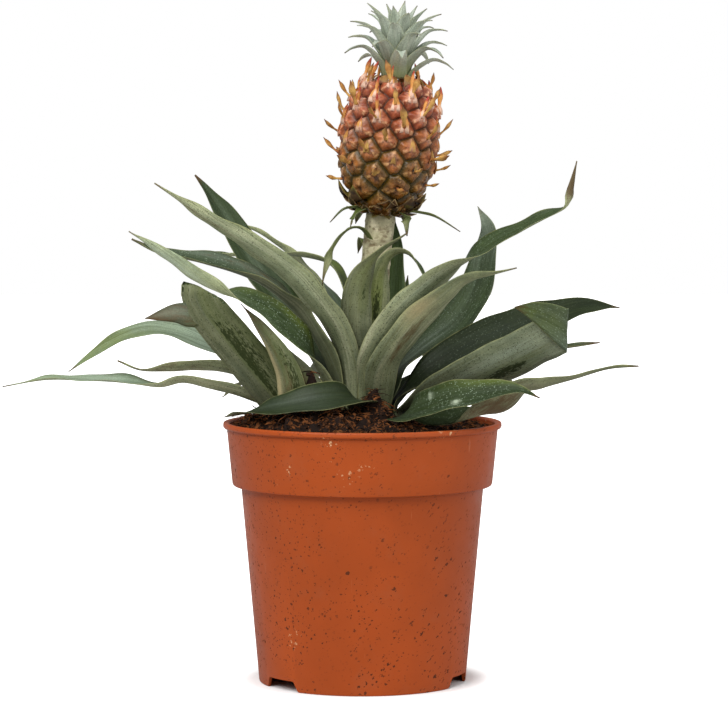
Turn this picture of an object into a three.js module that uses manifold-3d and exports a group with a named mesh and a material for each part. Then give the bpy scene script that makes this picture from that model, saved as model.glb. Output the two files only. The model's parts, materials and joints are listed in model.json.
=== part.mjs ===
// An ornamental pineapple in a round nursery pot. Millimetres, +Z up, the front is -Y.
// The origin is on the pot's axis, on the surface that the pot stands on.

import * as THREE from 'three';
import { mergeVertices } from 'three/addons/utils/BufferGeometryUtils.js';
import Module from 'manifold-3d';

const wasm = await Module();
wasm.setup();

// Clearance between pieces that touch
const GAP = 0.3;

// The pot: a lip on a tall collar, a tapered body on a skirt with three notches
const POT_SEGMENTS = 36;
const POT_HEIGHT = 112;
const LIP_RADIUS = 60;
const LIP_HEIGHT = 2.6;
const COLLAR_TOP_RADIUS = 58.4;
const COLLAR_FOOT_RADIUS = 56.1;
const COLLAR_FOOT = 85;
const BODY_TOP_RADIUS = 52.2;
const BODY_FOOT_RADIUS = 44.7;
const WALL = 1.3;
const EDGE_ROUND = 0.7;
const LIP_ROUND = 0.8;
const CORNER = 0.4;
const SHOULDER_DROP = 1.4;
const FLOOR = 4.8;
const PAD_RADIUS = 20;
const PAD_SLOPE = 1.6;
const DRAIN_COUNT = 6;
const DRAIN_RADIUS = 3.5;
const DRAIN_CIRCLE = 32;
const DRAIN_SIDES = 10;
const NOTCH_TURNS = [219, 339, 99];
const NOTCH_WIDTH = 22;
const NOTCH_SLANT = 3;
const NOTCH_HEIGHT = 4.6;
const NOTCH_DEPTH = 12;
const NOTCH_INSIDE = 8;

// The soil: its level at the wall, a rise round the stem and a mound at the left
const SOIL_LEVEL = 108.5;
const SOIL_RINGS = [56.4, 49, 41, 33, 25, 18];
const SOIL_EDGE = { calm: 56, free: 50 };
const SOIL_LUMP = 1.3;
const LUMP_WAVES = { x: 0.31, shift: 1.7, y: 0.37, slantX: 0.83, slantY: 0.67 };
const SOIL_EASE = 0.2;
const MOUNDS = [
  { x: -16, y: -26, height: 9, spread: 30 },
  { x: -43, y: -12, height: 6, spread: 10 },
  { x: 7, y: -20, height: 8, spread: 5 },
];

// The short leafy stem and the stalk that carries the fruit
const STEM_X = 3;
const STEM_BOTTOM = 80;
const STALK_RADIUS = 6.1;
const STALK_SIDES = 10;
const HOLE_SIDES = 20;
const BORE_SIDES = 12;
const STALK_STEPS = 14;
const STALK_COURSE = [[3, 0, 80], [3, 0, 112], [4.1, 0, 145], [5.6, 0, 178], [7.98, 0, 201.7]];

// Leaves clasp the stem in rings. Each ring has its radius, its blades' base width and the height of its neck.
const RINGS = [
  { radius: 7.0, width: 7.8, neck: 123 },
  { radius: 9.1, width: 8.6, neck: 121 },
  { radius: 11.2, width: 9.4, neck: 119 },
  { radius: 13.3, width: 9.8, neck: 116 },
  { radius: 15.4, width: 10.4, neck: 112 },
];
const LEAF_FOOT = 104;
const LEAF_THICKNESS = 0.9;
const LEAF_STEP = 16;
const TIP_WIDTH = 1.2;
const INWARD_LEAN = 0.4;
const CHANNEL = 0.13;
const SWELL_START = 0.08;
const TAPER_START = 0.3;
const TAPER_FULLNESS = 2.4;

// The tip of a folded leaf lies back over the fold
const FLAP_WIDTH = 0.6;
const FLAP_ROOT = 0.8;
const FLAP_CHANNEL = 0.05;
const FLAP_STEPS = 5;

// A blade that stands in the soil is this much narrower at its foot
const SOIL_BLADE_FOOT = 0.8;

// Above its neck a blade bends out by these shares of the way to its first spine point
const NECK_LENGTH = 6;
const BEND_OUT = 0.15;
const BEND_UP = 0.3;

// A spine point is x, y, z and the turn of the blade's upper face towards the front, in degrees.
// ring and turn give the place where a blade clasps the stem; a blade with no ring stands in the soil.
const LEAVES = [
  // Young leaves round the stalk
  { name: 'leaf_01', ring: 1, turn: 248, width: 15,
    spine: [[-2, -13.5, 143, 0], [-3, -17, 159, 0], [-1, -19, 172, 0], [6, -21, 184, 8],
      [19, -23, 194, 20]] },
  { name: 'leaf_02', ring: 0, turn: 289, width: 13,
    spine: [[6, -8.8, 143, 0], [6.5, -10, 161, 0], [8, -11, 176, 0], [12.5, -12, 184, 0], [19, -14, 185, 10],
      [24, -15, 180, 20], [28, -16, 172, 30]] },
  { name: 'leaf_03', ring: 0, turn: 21, width: 15,
    spine: [[12.5, 6, 144, 0], [13.5, 9, 159, 0], [14, 12, 175, 0], [15, 13, 188, 0], [14, 13, 199, 0]] },
  { name: 'leaf_04', ring: 1, turn: 107, width: 10,
    spine: [[6, 17, 142, 0], [13, 23, 156, 0], [18.5, 26, 166, 10], [20, 30, 174, 10]] },
  { name: 'leaf_05', ring: 0, turn: 160, width: 9,
    spine: [[-4.5, 5, 152, 0], [-8, 9, 171, -10], [-13, 14, 179, -10], [-21, 21, 182, -5],
      [-34, 35, 183, 0], [-52, 51, 182, 0], [-70, 61, 183, 0], [-85, 67, 184, 0]] },

  // Rising leaves
  { name: 'leaf_06', ring: 2, turn: 270, width: 15.5, full: 3, channel: 0.26,
    spine: [[5, -18, 140, 0], [15, -24, 158, -15], [29, -31, 170, -15], [39, -36, 178, 10],
      [49, -41, 187, 35], [61, -46, 194, 40], [73, -51, 201, 35], [84, -55, 206, 20],
      [86, -56, 213, 10], [88, -58, 224, 10]] },
  { name: 'leaf_07', ring: 1, turn: 15, width: 18, full: 3.5,
    spine: [[15, 10, 133, 0], [26, 25, 142, 30], [41, 34, 153, 45], [50, 40, 166, 45], [54, 44, 180, 40],
      [56, 44, 193, 30], [51, 40, 204, 10]] },
  { name: 'leaf_08', ring: 1, turn: 165, width: 13,
    spine: [[-8, 13, 150, 0], [-16, 27, 168, -20], [-32, 43, 183, -35], [-45, 51, 192, -30],
      [-57, 57, 197, -20]] },
  { name: 'leaf_09', ring: 2, turn: 112, width: 14,
    spine: [[-1, 24, 136, 0], [-5, 40, 146, 0], [-8, 60, 149, 0], [-11, 81, 145, 0], [-14, 98, 136, 0]] },

  { name: 'leaf_10', ring: 2, turn: 215, width: 15.5,
    spine: [[-8, -12, 143, 0], [-15, -19, 158, -20], [-30, -28, 176, -35], [-47, -35, 189, -38],
      [-67, -42, 202, -35], [-86, -47, 215, -20]] },
  { name: 'leaf_11', ring: 3, turn: 288, width: 15,
    spine: [[9, -22, 136, -5], [17, -29, 149, -30], [26, -35, 160, -35], [35, -40, 168, -25],
      [42, -42, 174, -5], [53, -45, 177, 0], [64, -47, 180, 0]] },
  { name: 'leaf_12', ring: 2, turn: 4, width: 18, full: 3.5,
    spine: [[25, 3, 129, 20], [37, 8, 137.5, 52], [51, 16, 145, 62], [67, 23, 151.5, 62], [83, 29, 156.5, 60],
      [99, 35, 160, 50], [114, 40, 159.5, 30]] },
  { name: 'leaf_13', ring: 2, turn: 57, width: 14,
    spine: [[12, 24, 131, 0], [19, 42, 139, 0], [25, 62, 142, 0], [29, 82, 138, 0], [31, 98, 129, 0]] },

  { name: 'leaf_14', ring: 3, turn: 204, width: 16, channel: 0.2,
    spine: [[-17, -6, 142, 0], [-28, -5, 159, -5], [-45, -10, 173, 5], [-67, -12, 181, 15],
      [-86, -13, 185, 15], [-98, -14, 191, 10]] },
  { name: 'leaf_15', ring: 3, turn: 154, width: 17, full: 4,
    spine: [[-16, 12, 137, 10], [-26, 20, 149, 30], [-38, 27, 165, 38], [-51, 33, 184, 38],
      [-62, 37, 202, 35], [-74, 41, 218, 25]] },
  { name: 'leaf_16', ring: 4, turn: 346, width: 13,
    spine: [[23, -12, 117, 30], [32, -24, 115.5, 40], [43, -35, 116.5, 20], [50, -41, 119, -30],
      [59, -44, 124, -60], [67, -46, 130, -40], [76, -47, 131, -20], [88, -47, 134, -10], [102, -46, 138, -10],
      [115, -45, 139, -10]] },
  { name: 'leaf_17', ring: 3, turn: 353, width: 18, end: 0.85,
    spine: [[25, -9, 121, -30], [36, -20, 127, -55], [48, -32, 134, -70], [61, -42, 141, -75],
      [73, -50, 148, -75], [81, -54, 153, -75]],
    flap: [[79.5, -54, 154, 75], [74, -54, 159, 75], [67, -52.5, 162.5, 75], [59, -51, 164, 75]] },
  { name: 'leaf_18', ring: 3, turn: 102, width: 14,
    spine: [[-2, 30, 124, 0], [-9, 50, 131, 0], [-16, 72, 132, 0], [-22, 92, 126, 0], [-26, 106, 116, 0]] },
  { name: 'leaf_19', ring: 3, turn: 52, width: 14,
    spine: [[19, 25, 125, 0], [34, 40, 130, 0], [49, 56, 131, 0], [62, 70, 127, 0], [72, 81, 119, 0]] },

  // Old leaves that lie low over the rim
  { name: 'leaf_20', ring: 4, turn: 210, width: 15,
    spine: [[-19, -14, 136, 15], [-27, -19, 149, 45], [-39, -24, 160, 50], [-50, -28, 166, 35],
      [-59, -31, 169, 0], [-70, -35, 176, -35], [-82, -39, 185, -40], [-97, -43, 195, -25]] },
  { name: 'leaf_21', ring: 4, turn: 165, width: 14,
    spine: [[-27, 11, 127, 20], [-49, 17, 138, 30], [-68, 21, 144, 30], [-82, 24, 149, 30],
      [-97, 25, 150, 30], [-113, 25, 143, 30], [-129, 24, 132, 20]] },
  { name: 'leaf_22', ring: 4, turn: 258, width: 15,
    spine: [[-1, -27, 123, 30], [-9, -33, 125, 50], [-21, -36, 124, 55], [-35, -34, 121, 50],
      [-48, -25, 118, 35], [-59, -10, 115, 10]] },
  { name: 'leaf_23', ring: 4, turn: 300, width: 16,
    spine: [[18, -28, 117.5, 45], [27, -38, 122, 56], [38, -47, 126, 60], [52, -55, 129, 60],
      [64, -60, 130, 50], [73, -63, 127, 40]] },
  { name: 'leaf_24', ring: 4, turn: 29, width: 12,
    spine: [[28, 11, 122, 10], [40, 16, 131, 20], [60, 21, 139, 20], [78, 23, 142, 20], [91, 24, 143, 15],
      [104, 23, 145, 10]] },
  { name: 'leaf_25', ring: 4, turn: 120, width: 13,
    spine: [[-20, 28, 122, 0], [-36, 46, 127, 0], [-52, 64, 125, 0], [-64, 78, 117, 0]] },

  // Leaves that come up through the soil at the left
  { name: 'leaf_26', width: 18, end: 0.8,
    spine: [[-31, -15, 100, -80], [-32, -15, 110, -80], [-36, -15, 122, -80], [-43, -15.5, 132, -80],
      [-52, -16, 143, -80], [-60, -16, 153, -80], [-68, -16, 164, -78], [-73, -15, 169, -75]],
    flapWidth: 0.42,
    flap: [[-68, -14.6, 163.5, 60], [-72.5, -12, 164.5, 60], [-77, -10, 160.5, 50], [-83, -8.5, 158, 45],
      [-90.5, -7, 156, 40]] },
  { name: 'leaf_27', width: 12.5, full: 1.6,
    spine: [[-28, -27, 100, -80], [-28.3, -27, 111, -80], [-29.3, -27, 123, -80], [-31.3, -27, 134, -80],
      [-35, -27, 142.5, -78], [-39.5, -27, 149.5, -70], [-44.5, -27, 156, -60], [-51, -27, 164, -50]] },
  { name: 'leaf_28', width: 13,
    spine: [[-29, 7, 100, -20], [-32, 7, 112, -20], [-38, 7, 125, -25], [-49, 7, 131, -28], [-68, 7, 135, -28],
      [-83, 7, 134, -25], [-96, 7, 134, -15], [-106, 7, 138, -5]] },
  { name: 'leaf_29', width: 12,
    spine: [[-28, -4, 100, -20], [-29, -4, 110, -20], [-35, -4, 118, -25], [-44, -4.5, 121, -25],
      [-55, -5, 125, -25], [-67, -7, 128, -25], [-77, -9, 130, -15], [-87, -9, 128, 0], [-101, -9, 130, 15],
      [-119, -10, 131, 15], [-136, -10, 131, 10], [-154, -10, 128, 5]] },
  { name: 'leaf_30', width: 14, full: 2,
    spine: [[-17, -22, 100, -80], [-17.5, -22, 112, -80], [-20.5, -22, 123, -80], [-26, -22, 132, -78],
      [-31.5, -22, 139.5, -75], [-36.5, -22, 145.5, -70], [-42, -22, 151, -50]] },
];

// Thin curled bracts on the stalk, and those that hang from the foot of the fruit
const BRACT = { width: 4.6, baseWidth: 4, thickness: 0.7, rows: [-1, 1], steps: 6 };
const STALK_BRACTS = [
  [[6, -2, 187, 0], [0, -7, 195, 0], [-6, -9, 195, 0], [-12, -10, 188, 0], [-16, -11, 178, 0],
    [-17, -11, 171, 0]],
  [[5, 2, 180, 0], [2, 9, 189, 0], [0, 16, 190, 0], [-2, 22, 184, 0]],
];
const FRUIT_BRACTS = [
  [[4, -2, 205, 0], [-2, -4, 204.5, 0], [-8, -5, 203.5, 0], [-14, -6, 198, 0]],
  [[3, -5, 205, 0], [-1, -9, 203, 0], [-4, -11, 200, 0], [-5, -12, 196, 0]],
  [[13, -2, 205, 0], [18, -3, 203, 0], [25, -4, 202, 0], [32, -4, 200, 0], [42, -4, 194, 0]],
  [[13, -3, 205, 0], [17, -6, 202, 0], [19, -7, 198, 0], [19, -7, 192, 0]],
  [[5, 4, 205, 0], [2, 10, 203.5, 0], [-1, 15, 202, 0], [-3, 19, 197, 0]],
  [[12, 4, 205, 0], [16, 11, 203.5, 0], [18, 17, 201.5, 0], [19, 22, 196, 0]],
];

// The fruit: a barrel of eyes in spirals
const FRUIT_BASE = [8.1, 0, 202];
const FRUIT_TILT = 6.2;
const FRUIT_LENGTH = 59;
const FRUIT_RADIUS = 17.9;
const WAIST = 0.47;
const REACH = 0.56;
const FULLNESS = 2.2;
const CORE_SIDES = 12;
const CORE_STEPS = 7;
const CORE_INSET = 0.6;
const CORE_ENDS = [0.05, 0.93];
const CORE_DIP = 3;
const SLOPE_STEP = 0.02;

// Eyes are large at the foot of the fruit and crowd together towards the crown
const EYE_COUNT = 88;
const EYE_FIRST = 0.045;
const EYE_LAST = 0.93;
const EYE_CROWDING = 0.78;
const EYE_RADIUS = 6.2;
const EYE_LEAST = 0.35;
const EYE_GROWTH = { foot: 1.12, top: 0.9 };
const EYE_SUNK = 2.2;
const EYE_HEIGHT = 1.8;
const EYE_POINT = 3.9;
const EYE_LEAN = 0.75;

// Dried flowers stand on some of the eyes
const FLOWER_FIRST = 0.3;
const FLOWER_SHARE = 0.42;
const FLOWER_LENGTH = 9.5;
const FLOWER_LENGTHS = [0.7, 1.2];
const FLOWER_RADIUS = 1.1;
const FLOWER_LEAN = [0.5, 1.2];
const FLOWER_TURN = 0.9;
const GOLDEN_TURN = 137.508;

// The crown: a tuft of short leaves on the fruit
const CROWN_LEAVES = 31;
const CROWN_BASE = [14.2, 0, 257.7];
const CROWN_TILT = 3.5;
const CROWN_CORE = [[0, 0], [5, 0], [6.4, 6], [4.2, 12], [1.2, 18], [0, 18]];
const CROWN_SIDES = 9;
const CROWN_BLADE = { baseWidth: 8, thickness: 0.7, depth: 0.18, channel: 0.18, full: 1.3, steps: 3 };

// A crown leaf's measures, young in the middle and old outside. Its spine has four points: the first is at its
// root, the last at its tip, and the shares give the two between. An old leaf rises first and then bends out.
const CROWN_YOUNG = { root: 0.8, foot: 9, reach: 1.2, height: 34.7, width: 8.6, arch: 0 };
const CROWN_OLD = { root: 4.6, foot: 1, reach: 17.5, height: 8.1, width: 7, arch: 1.5 };
const CROWN_OUT = [0, 0.13, 0.5, 1];
const CROWN_UP = { young: [0, 0.33, 0.68, 1], old: [0, 0.45, 0.95, 1] };
const CROWN_SPREAD = 4.5;
const CROWN_SINK = 1.5;
const CROWN_VARIETY = 0.06;

const rad = THREE.MathUtils.degToRad;

// A seeded draw between two values
function seededDraw(seed) {
  let state = seed;
  return (low, high) => {
    state = (state * 1664525 + 1013904223) >>> 0;
    return low + (high - low) * (state / 4294967296);
  };
}

function toSolid(geometry) {
  const bare = geometry.clone();
  bare.deleteAttribute('normal');
  bare.deleteAttribute('uv');
  const merged = mergeVertices(bare, 1e-4);
  return new wasm.Manifold(new wasm.Mesh({
    numProp: 3,
    vertProperties: new Float32Array(merged.attributes.position.array),
    triVerts: new Uint32Array(merged.index.array),
  }));
}

// The outer surface alone, without the closed pockets that small pieces can leave between them
function outerShell(solid) {
  return solid.decompose().reduce((outer, shell) => (shell.volume() > outer.volume() ? shell : outer));
}

function toGeometry(solid) {
  const mesh = outerShell(solid).getMesh();
  const geometry = new THREE.BufferGeometry();
  geometry.setAttribute('position', new THREE.BufferAttribute(mesh.vertProperties, 3));
  geometry.setIndex(new THREE.BufferAttribute(mesh.triVerts, 1));
  geometry.computeVertexNormals();
  return geometry;
}

function lathe(profile, segments) {
  const geometry = new THREE.LatheGeometry(profile.map(([r, z]) => new THREE.Vector2(r, z)), segments);
  return geometry.rotateX(Math.PI / 2);
}

// A cylinder that stands at a height on the Z axis
function upright(radius, bottom, height, sides) {
  const cylinder = new THREE.CylinderGeometry(radius, radius, height, sides);
  return cylinder.rotateX(Math.PI / 2).translate(0, 0, bottom + height / 2);
}

// A strap blade along a spine: flat, or a shallow channel in section, the same triangles on both faces
function blade({ spine, width, baseWidth, inward, thickness = LEAF_THICKNESS, depth = 0, channel = CHANNEL,
  end = 0, full = TAPER_FULLNESS, rows = [-1, 0, 1], steps, grow = 0 }) {
  const course = new THREE.CatmullRomCurve3(
    spine.map(([x, y, z]) => new THREE.Vector3(x, y, z)), false, 'catmullrom', 0.5);
  const turns = new THREE.CatmullRomCurve3(
    spine.map(([, , , turn]) => new THREE.Vector3(turn, 0, 0)), false, 'catmullrom', 0.5);
  const count = steps ?? Math.round(course.getLength() / LEAF_STEP) + 3;
  const positions = [];
  for (let i = 0; i <= count; i += 1) {
    const u = i / count;
    const t = course.getUtoTmapping(u);
    const place = course.getPoint(t);
    const along = course.getTangent(t);
    place.addScaledVector(along, i === 0 ? -grow : 0);
    const turn = rad(turns.getPoint(t).x);
    const upper = new THREE.Vector3(0, 0, 1).addScaledVector(inward, INWARD_LEAN);
    upper.multiplyScalar(Math.cos(turn));
    upper.y -= Math.sin(turn);
    upper.addScaledVector(along, -upper.dot(along)).normalize();
    const side = new THREE.Vector3().crossVectors(along, upper);
    const swell = THREE.MathUtils.smoothstep(u, SWELL_START, TAPER_START);
    const narrow = 1 - (1 - end) * Math.max(0, (u - TAPER_START) / (1 - TAPER_START)) ** full;
    const across = Math.max(TIP_WIDTH, THREE.MathUtils.lerp(baseWidth, width, swell) * narrow) + 2 * grow;
    const rise = across * THREE.MathUtils.lerp(depth, channel, swell);
    for (const level of [grow, -thickness - grow]) {
      for (const row of rows) {
        const point = place.clone().addScaledVector(side, row * across / 2);
        point.addScaledVector(upper, Math.abs(row) * rise + level);
        positions.push(point.x, point.y, point.z);
      }
    }
  }
  const n = rows.length;
  const index = [];
  const quad = (a, b, c, d) => index.push(a, b, c, a, c, d);
  for (let i = 0; i < count; i += 1) {
    const a = i * 2 * n;
    const b = a + 2 * n;
    for (let j = 0; j + 1 < n; j += 1) {
      quad(a + j, a + j + 1, b + j + 1, b + j);
      index.push(a + n + j, b + n + j + 1, a + n + j + 1, a + n + j, b + n + j, b + n + j + 1);
    }
    quad(a + n - 1, a + 2 * n - 1, b + 2 * n - 1, b + n - 1);
    quad(a, b, b + n, a + n);
  }
  const last = count * 2 * n;
  for (let j = 0; j + 1 < n; j += 1) {
    quad(j, j + n, j + n + 1, j + 1);
    quad(last + j, last + j + 1, last + j + n + 1, last + j + n);
  }
  const geometry = new THREE.BufferGeometry();
  geometry.setAttribute('position', new THREE.Float32BufferAttribute(positions, 3));
  geometry.setIndex(index);
  geometry.computeVertexNormals();
  return geometry;
}

// The full spine of a leaf: its foot and neck in the ring, then its own points
function leafBlades(leaf, grow = 0) {
  const ring = RINGS[leaf.ring];
  const first = leaf.spine[0];
  const last = leaf.spine.at(-1);
  const turn = ring ? rad(leaf.turn) : Math.atan2(last[1] - first[1], last[0] - first[0]);
  const inward = new THREE.Vector3(-Math.cos(turn), -Math.sin(turn), 0);
  let spine = leaf.spine;
  if (ring) {
    const x = STEM_X - ring.radius * inward.x;
    const y = -ring.radius * inward.y;
    const bend = [x + BEND_OUT * (first[0] - x), y + BEND_OUT * (first[1] - y),
      ring.neck + BEND_UP * (first[2] - ring.neck), 0];
    spine = [[x, y, LEAF_FOOT + GAP, 0], [x, y, ring.neck - NECK_LENGTH, 0], [x, y, ring.neck, 0], bend,
      ...leaf.spine];
  }
  const baseWidth = ring ? ring.width : leaf.width * SOIL_BLADE_FOOT;
  const half = baseWidth / 2;
  const depth = ring ? (ring.radius - Math.sqrt(ring.radius ** 2 - half ** 2)) / baseWidth : CHANNEL;
  const { width, channel, end, full } = leaf;
  const blades = [blade({ spine, width, baseWidth, inward, depth, channel, end, full, grow })];
  if (leaf.flap) {
    blades.push(blade({ spine: leaf.flap, width: width * (leaf.flapWidth ?? FLAP_WIDTH),
      baseWidth: width * FLAP_ROOT, inward, channel: FLAP_CHANNEL, steps: FLAP_STEPS, grow }));
  }
  return blades;
}

function leafGeometry(leaf) {
  const [main, flap] = leafBlades(leaf);
  return flap ? toGeometry(toSolid(main).add(toSolid(flap))) : main;
}

function potGeometry() {
  const inner = (radius) => radius - WALL;
  const profile = [
    [0, 0], [PAD_RADIUS, 0], [PAD_RADIUS + PAD_SLOPE, FLOOR], [inner(BODY_FOOT_RADIUS), FLOOR],
    [inner(BODY_FOOT_RADIUS), 0], [BODY_FOOT_RADIUS - EDGE_ROUND, 0], [BODY_FOOT_RADIUS, EDGE_ROUND],
    [BODY_TOP_RADIUS, COLLAR_FOOT - SHOULDER_DROP], [BODY_TOP_RADIUS + EDGE_ROUND, COLLAR_FOOT - CORNER],
    [COLLAR_FOOT_RADIUS - LIP_ROUND, COLLAR_FOOT], [COLLAR_FOOT_RADIUS, COLLAR_FOOT + LIP_ROUND],
    [COLLAR_TOP_RADIUS, POT_HEIGHT - LIP_HEIGHT], [LIP_RADIUS - CORNER, POT_HEIGHT - LIP_HEIGHT + CORNER / 2],
    [LIP_RADIUS, POT_HEIGHT - LIP_HEIGHT + LIP_ROUND], [LIP_RADIUS, POT_HEIGHT - LIP_ROUND],
    [LIP_RADIUS - LIP_ROUND, POT_HEIGHT], [inner(COLLAR_TOP_RADIUS) + EDGE_ROUND, POT_HEIGHT],
    [inner(COLLAR_TOP_RADIUS), POT_HEIGHT - EDGE_ROUND],
    [inner(COLLAR_FOOT_RADIUS), COLLAR_FOOT + WALL + EDGE_ROUND],
    [inner(BODY_TOP_RADIUS), COLLAR_FOOT + WALL - SHOULDER_DROP + CORNER],
    [inner(BODY_FOOT_RADIUS) + CORNER, FLOOR + WALL],
    [PAD_RADIUS + PAD_SLOPE - WALL, FLOOR + WALL], [PAD_RADIUS - WALL, WALL], [0, WALL],
  ];
  let pot = toSolid(lathe(profile, POT_SEGMENTS));
  for (let i = 0; i < DRAIN_COUNT; i += 1) {
    const turn = (i + 0.5) / DRAIN_COUNT * 2 * Math.PI;
    const drain = upright(DRAIN_RADIUS, FLOOR - WALL, 4 * WALL, DRAIN_SIDES);
    drain.translate(DRAIN_CIRCLE * Math.cos(turn), DRAIN_CIRCLE * Math.sin(turn), 0);
    pot = pot.subtract(toSolid(drain));
  }
  const outline = new THREE.Shape([
    [-NOTCH_WIDTH / 2, -WALL], [NOTCH_WIDTH / 2, -WALL], [NOTCH_WIDTH / 2 - NOTCH_SLANT, NOTCH_HEIGHT],
    [NOTCH_SLANT - NOTCH_WIDTH / 2, NOTCH_HEIGHT],
  ].map(([x, y]) => new THREE.Vector2(x, y)));
  for (const turn of NOTCH_TURNS) {
    const block = new THREE.ExtrudeGeometry(outline, { depth: NOTCH_DEPTH, bevelEnabled: false });
    const notch = block.rotateX(Math.PI / 2).translate(0, NOTCH_INSIDE - BODY_FOOT_RADIUS, 0);
    notch.rotateZ(rad(turn - 270));
    pot = pot.subtract(toSolid(notch));
  }
  return toGeometry(pot);
}

function mound({ x, y, height, spread }, px, py) {
  return height * Math.exp(-((px - x) ** 2 + (py - y) ** 2) / spread ** 2);
}

function soilGeometry(buried) {
  const inset = WALL + GAP;
  const foot = FLOOR + WALL + GAP;
  const profile = [
    [0, WALL + GAP], [PAD_RADIUS - inset - SOIL_EASE, WALL + GAP],
    [PAD_RADIUS + PAD_SLOPE - inset - SOIL_EASE, foot],
    [BODY_FOOT_RADIUS - inset + SOIL_EASE, foot], [BODY_TOP_RADIUS - inset, COLLAR_FOOT + WALL - SOIL_EASE],
    [COLLAR_FOOT_RADIUS - inset - SOIL_EASE, COLLAR_FOOT + 2 * WALL],
    ...SOIL_RINGS.map((r) => [r, SOIL_LEVEL]), [0, SOIL_LEVEL],
  ];
  const geometry = lathe(profile, POT_SEGMENTS);
  const position = geometry.attributes.position;
  for (let i = 0; i < position.count; i += 1) {
    const x = position.getX(i);
    const y = position.getY(i);
    if (position.getZ(i) > SOIL_LEVEL - 0.01) {
      const edge = 1 - THREE.MathUtils.smoothstep(Math.hypot(x, y), SOIL_EDGE.free, SOIL_EDGE.calm);
      const swell = Math.sin(LUMP_WAVES.x * x + LUMP_WAVES.shift) * Math.cos(LUMP_WAVES.y * y);
      const lump = SOIL_LUMP * edge * (swell + Math.sin(LUMP_WAVES.slantX * x - LUMP_WAVES.slantY * y));
      const rise = MOUNDS.reduce((sum, heap) => sum + mound(heap, x, y), 0);
      position.setZ(i, SOIL_LEVEL + lump + edge * rise);
    }
  }
  const holeRadius = RINGS.at(-1).radius + LEAF_THICKNESS + 3 * GAP;
  const hole = upright(holeRadius, LEAF_FOOT, POT_HEIGHT, HOLE_SIDES).translate(STEM_X, 0, 0);
  const bore = upright(STALK_RADIUS + 2 * GAP, STEM_BOTTOM - GAP, POT_HEIGHT, BORE_SIDES);
  bore.translate(STEM_X, 0, 0);
  let soil = toSolid(geometry).subtract(toSolid(hole)).subtract(toSolid(bore));
  for (const leaf of buried) {
    for (const slot of leafBlades(leaf, GAP)) {
      soil = soil.subtract(toSolid(slot));
    }
  }
  return toGeometry(soil);
}

function bractSolid(spine) {
  const turn = Math.atan2(spine.at(-1)[1] - spine[0][1], spine.at(-1)[0] - spine[0][0]);
  const inward = new THREE.Vector3(-Math.cos(turn), -Math.sin(turn), 0);
  return toSolid(blade({ ...BRACT, spine, inward, channel: 0 }));
}

function stalkGeometry() {
  const course = new THREE.CatmullRomCurve3(STALK_COURSE.map((p) => new THREE.Vector3(...p)));
  const section = new THREE.Shape();
  for (let i = 0; i < STALK_SIDES; i += 1) {
    const turn = i / STALK_SIDES * 2 * Math.PI;
    const x = STALK_RADIUS * Math.cos(turn);
    const y = STALK_RADIUS * Math.sin(turn);
    section[i ? 'lineTo' : 'moveTo'](x, y);
  }
  const tube = new THREE.ExtrudeGeometry(section, { steps: STALK_STEPS, extrudePath: course });
  let stalk = toSolid(tube);
  for (const spine of STALK_BRACTS) {
    stalk = stalk.add(bractSolid(spine));
  }
  return toGeometry(stalk);
}

// The barrel's radius at a share of its length
function barrel(share) {
  return FRUIT_RADIUS * Math.sqrt(Math.max(0, 1 - Math.abs((share - WAIST) / REACH) ** FULLNESS));
}

// A piece stood on the barrel: its +Z points out of the surface and its +Y up the fruit
function onBarrel(geometry, share, turn, lift) {
  const rise = barrel(share + SLOPE_STEP) - barrel(share - SLOPE_STEP);
  const slope = Math.atan2(rise, 2 * SLOPE_STEP * FRUIT_LENGTH);
  geometry.translate(0, 0, lift).rotateX(Math.PI / 2 - slope);
  return geometry.translate(0, -barrel(share), share * FRUIT_LENGTH).rotateZ(turn);
}

// One eye: a six-sided pad with its point drawn up towards the crown
function eyeGeometry(scale) {
  const profile = [[0, -EYE_SUNK], [EYE_RADIUS * scale, -EYE_SUNK], [0, EYE_POINT * scale]];
  const eye = lathe(profile, 6);
  const position = eye.attributes.position;
  for (let i = 0; i < position.count; i += 1) {
    const above = Math.max(0, position.getZ(i) - EYE_HEIGHT / 2);
    position.setY(i, position.getY(i) + EYE_LEAN * above);
  }
  return eye;
}

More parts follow.
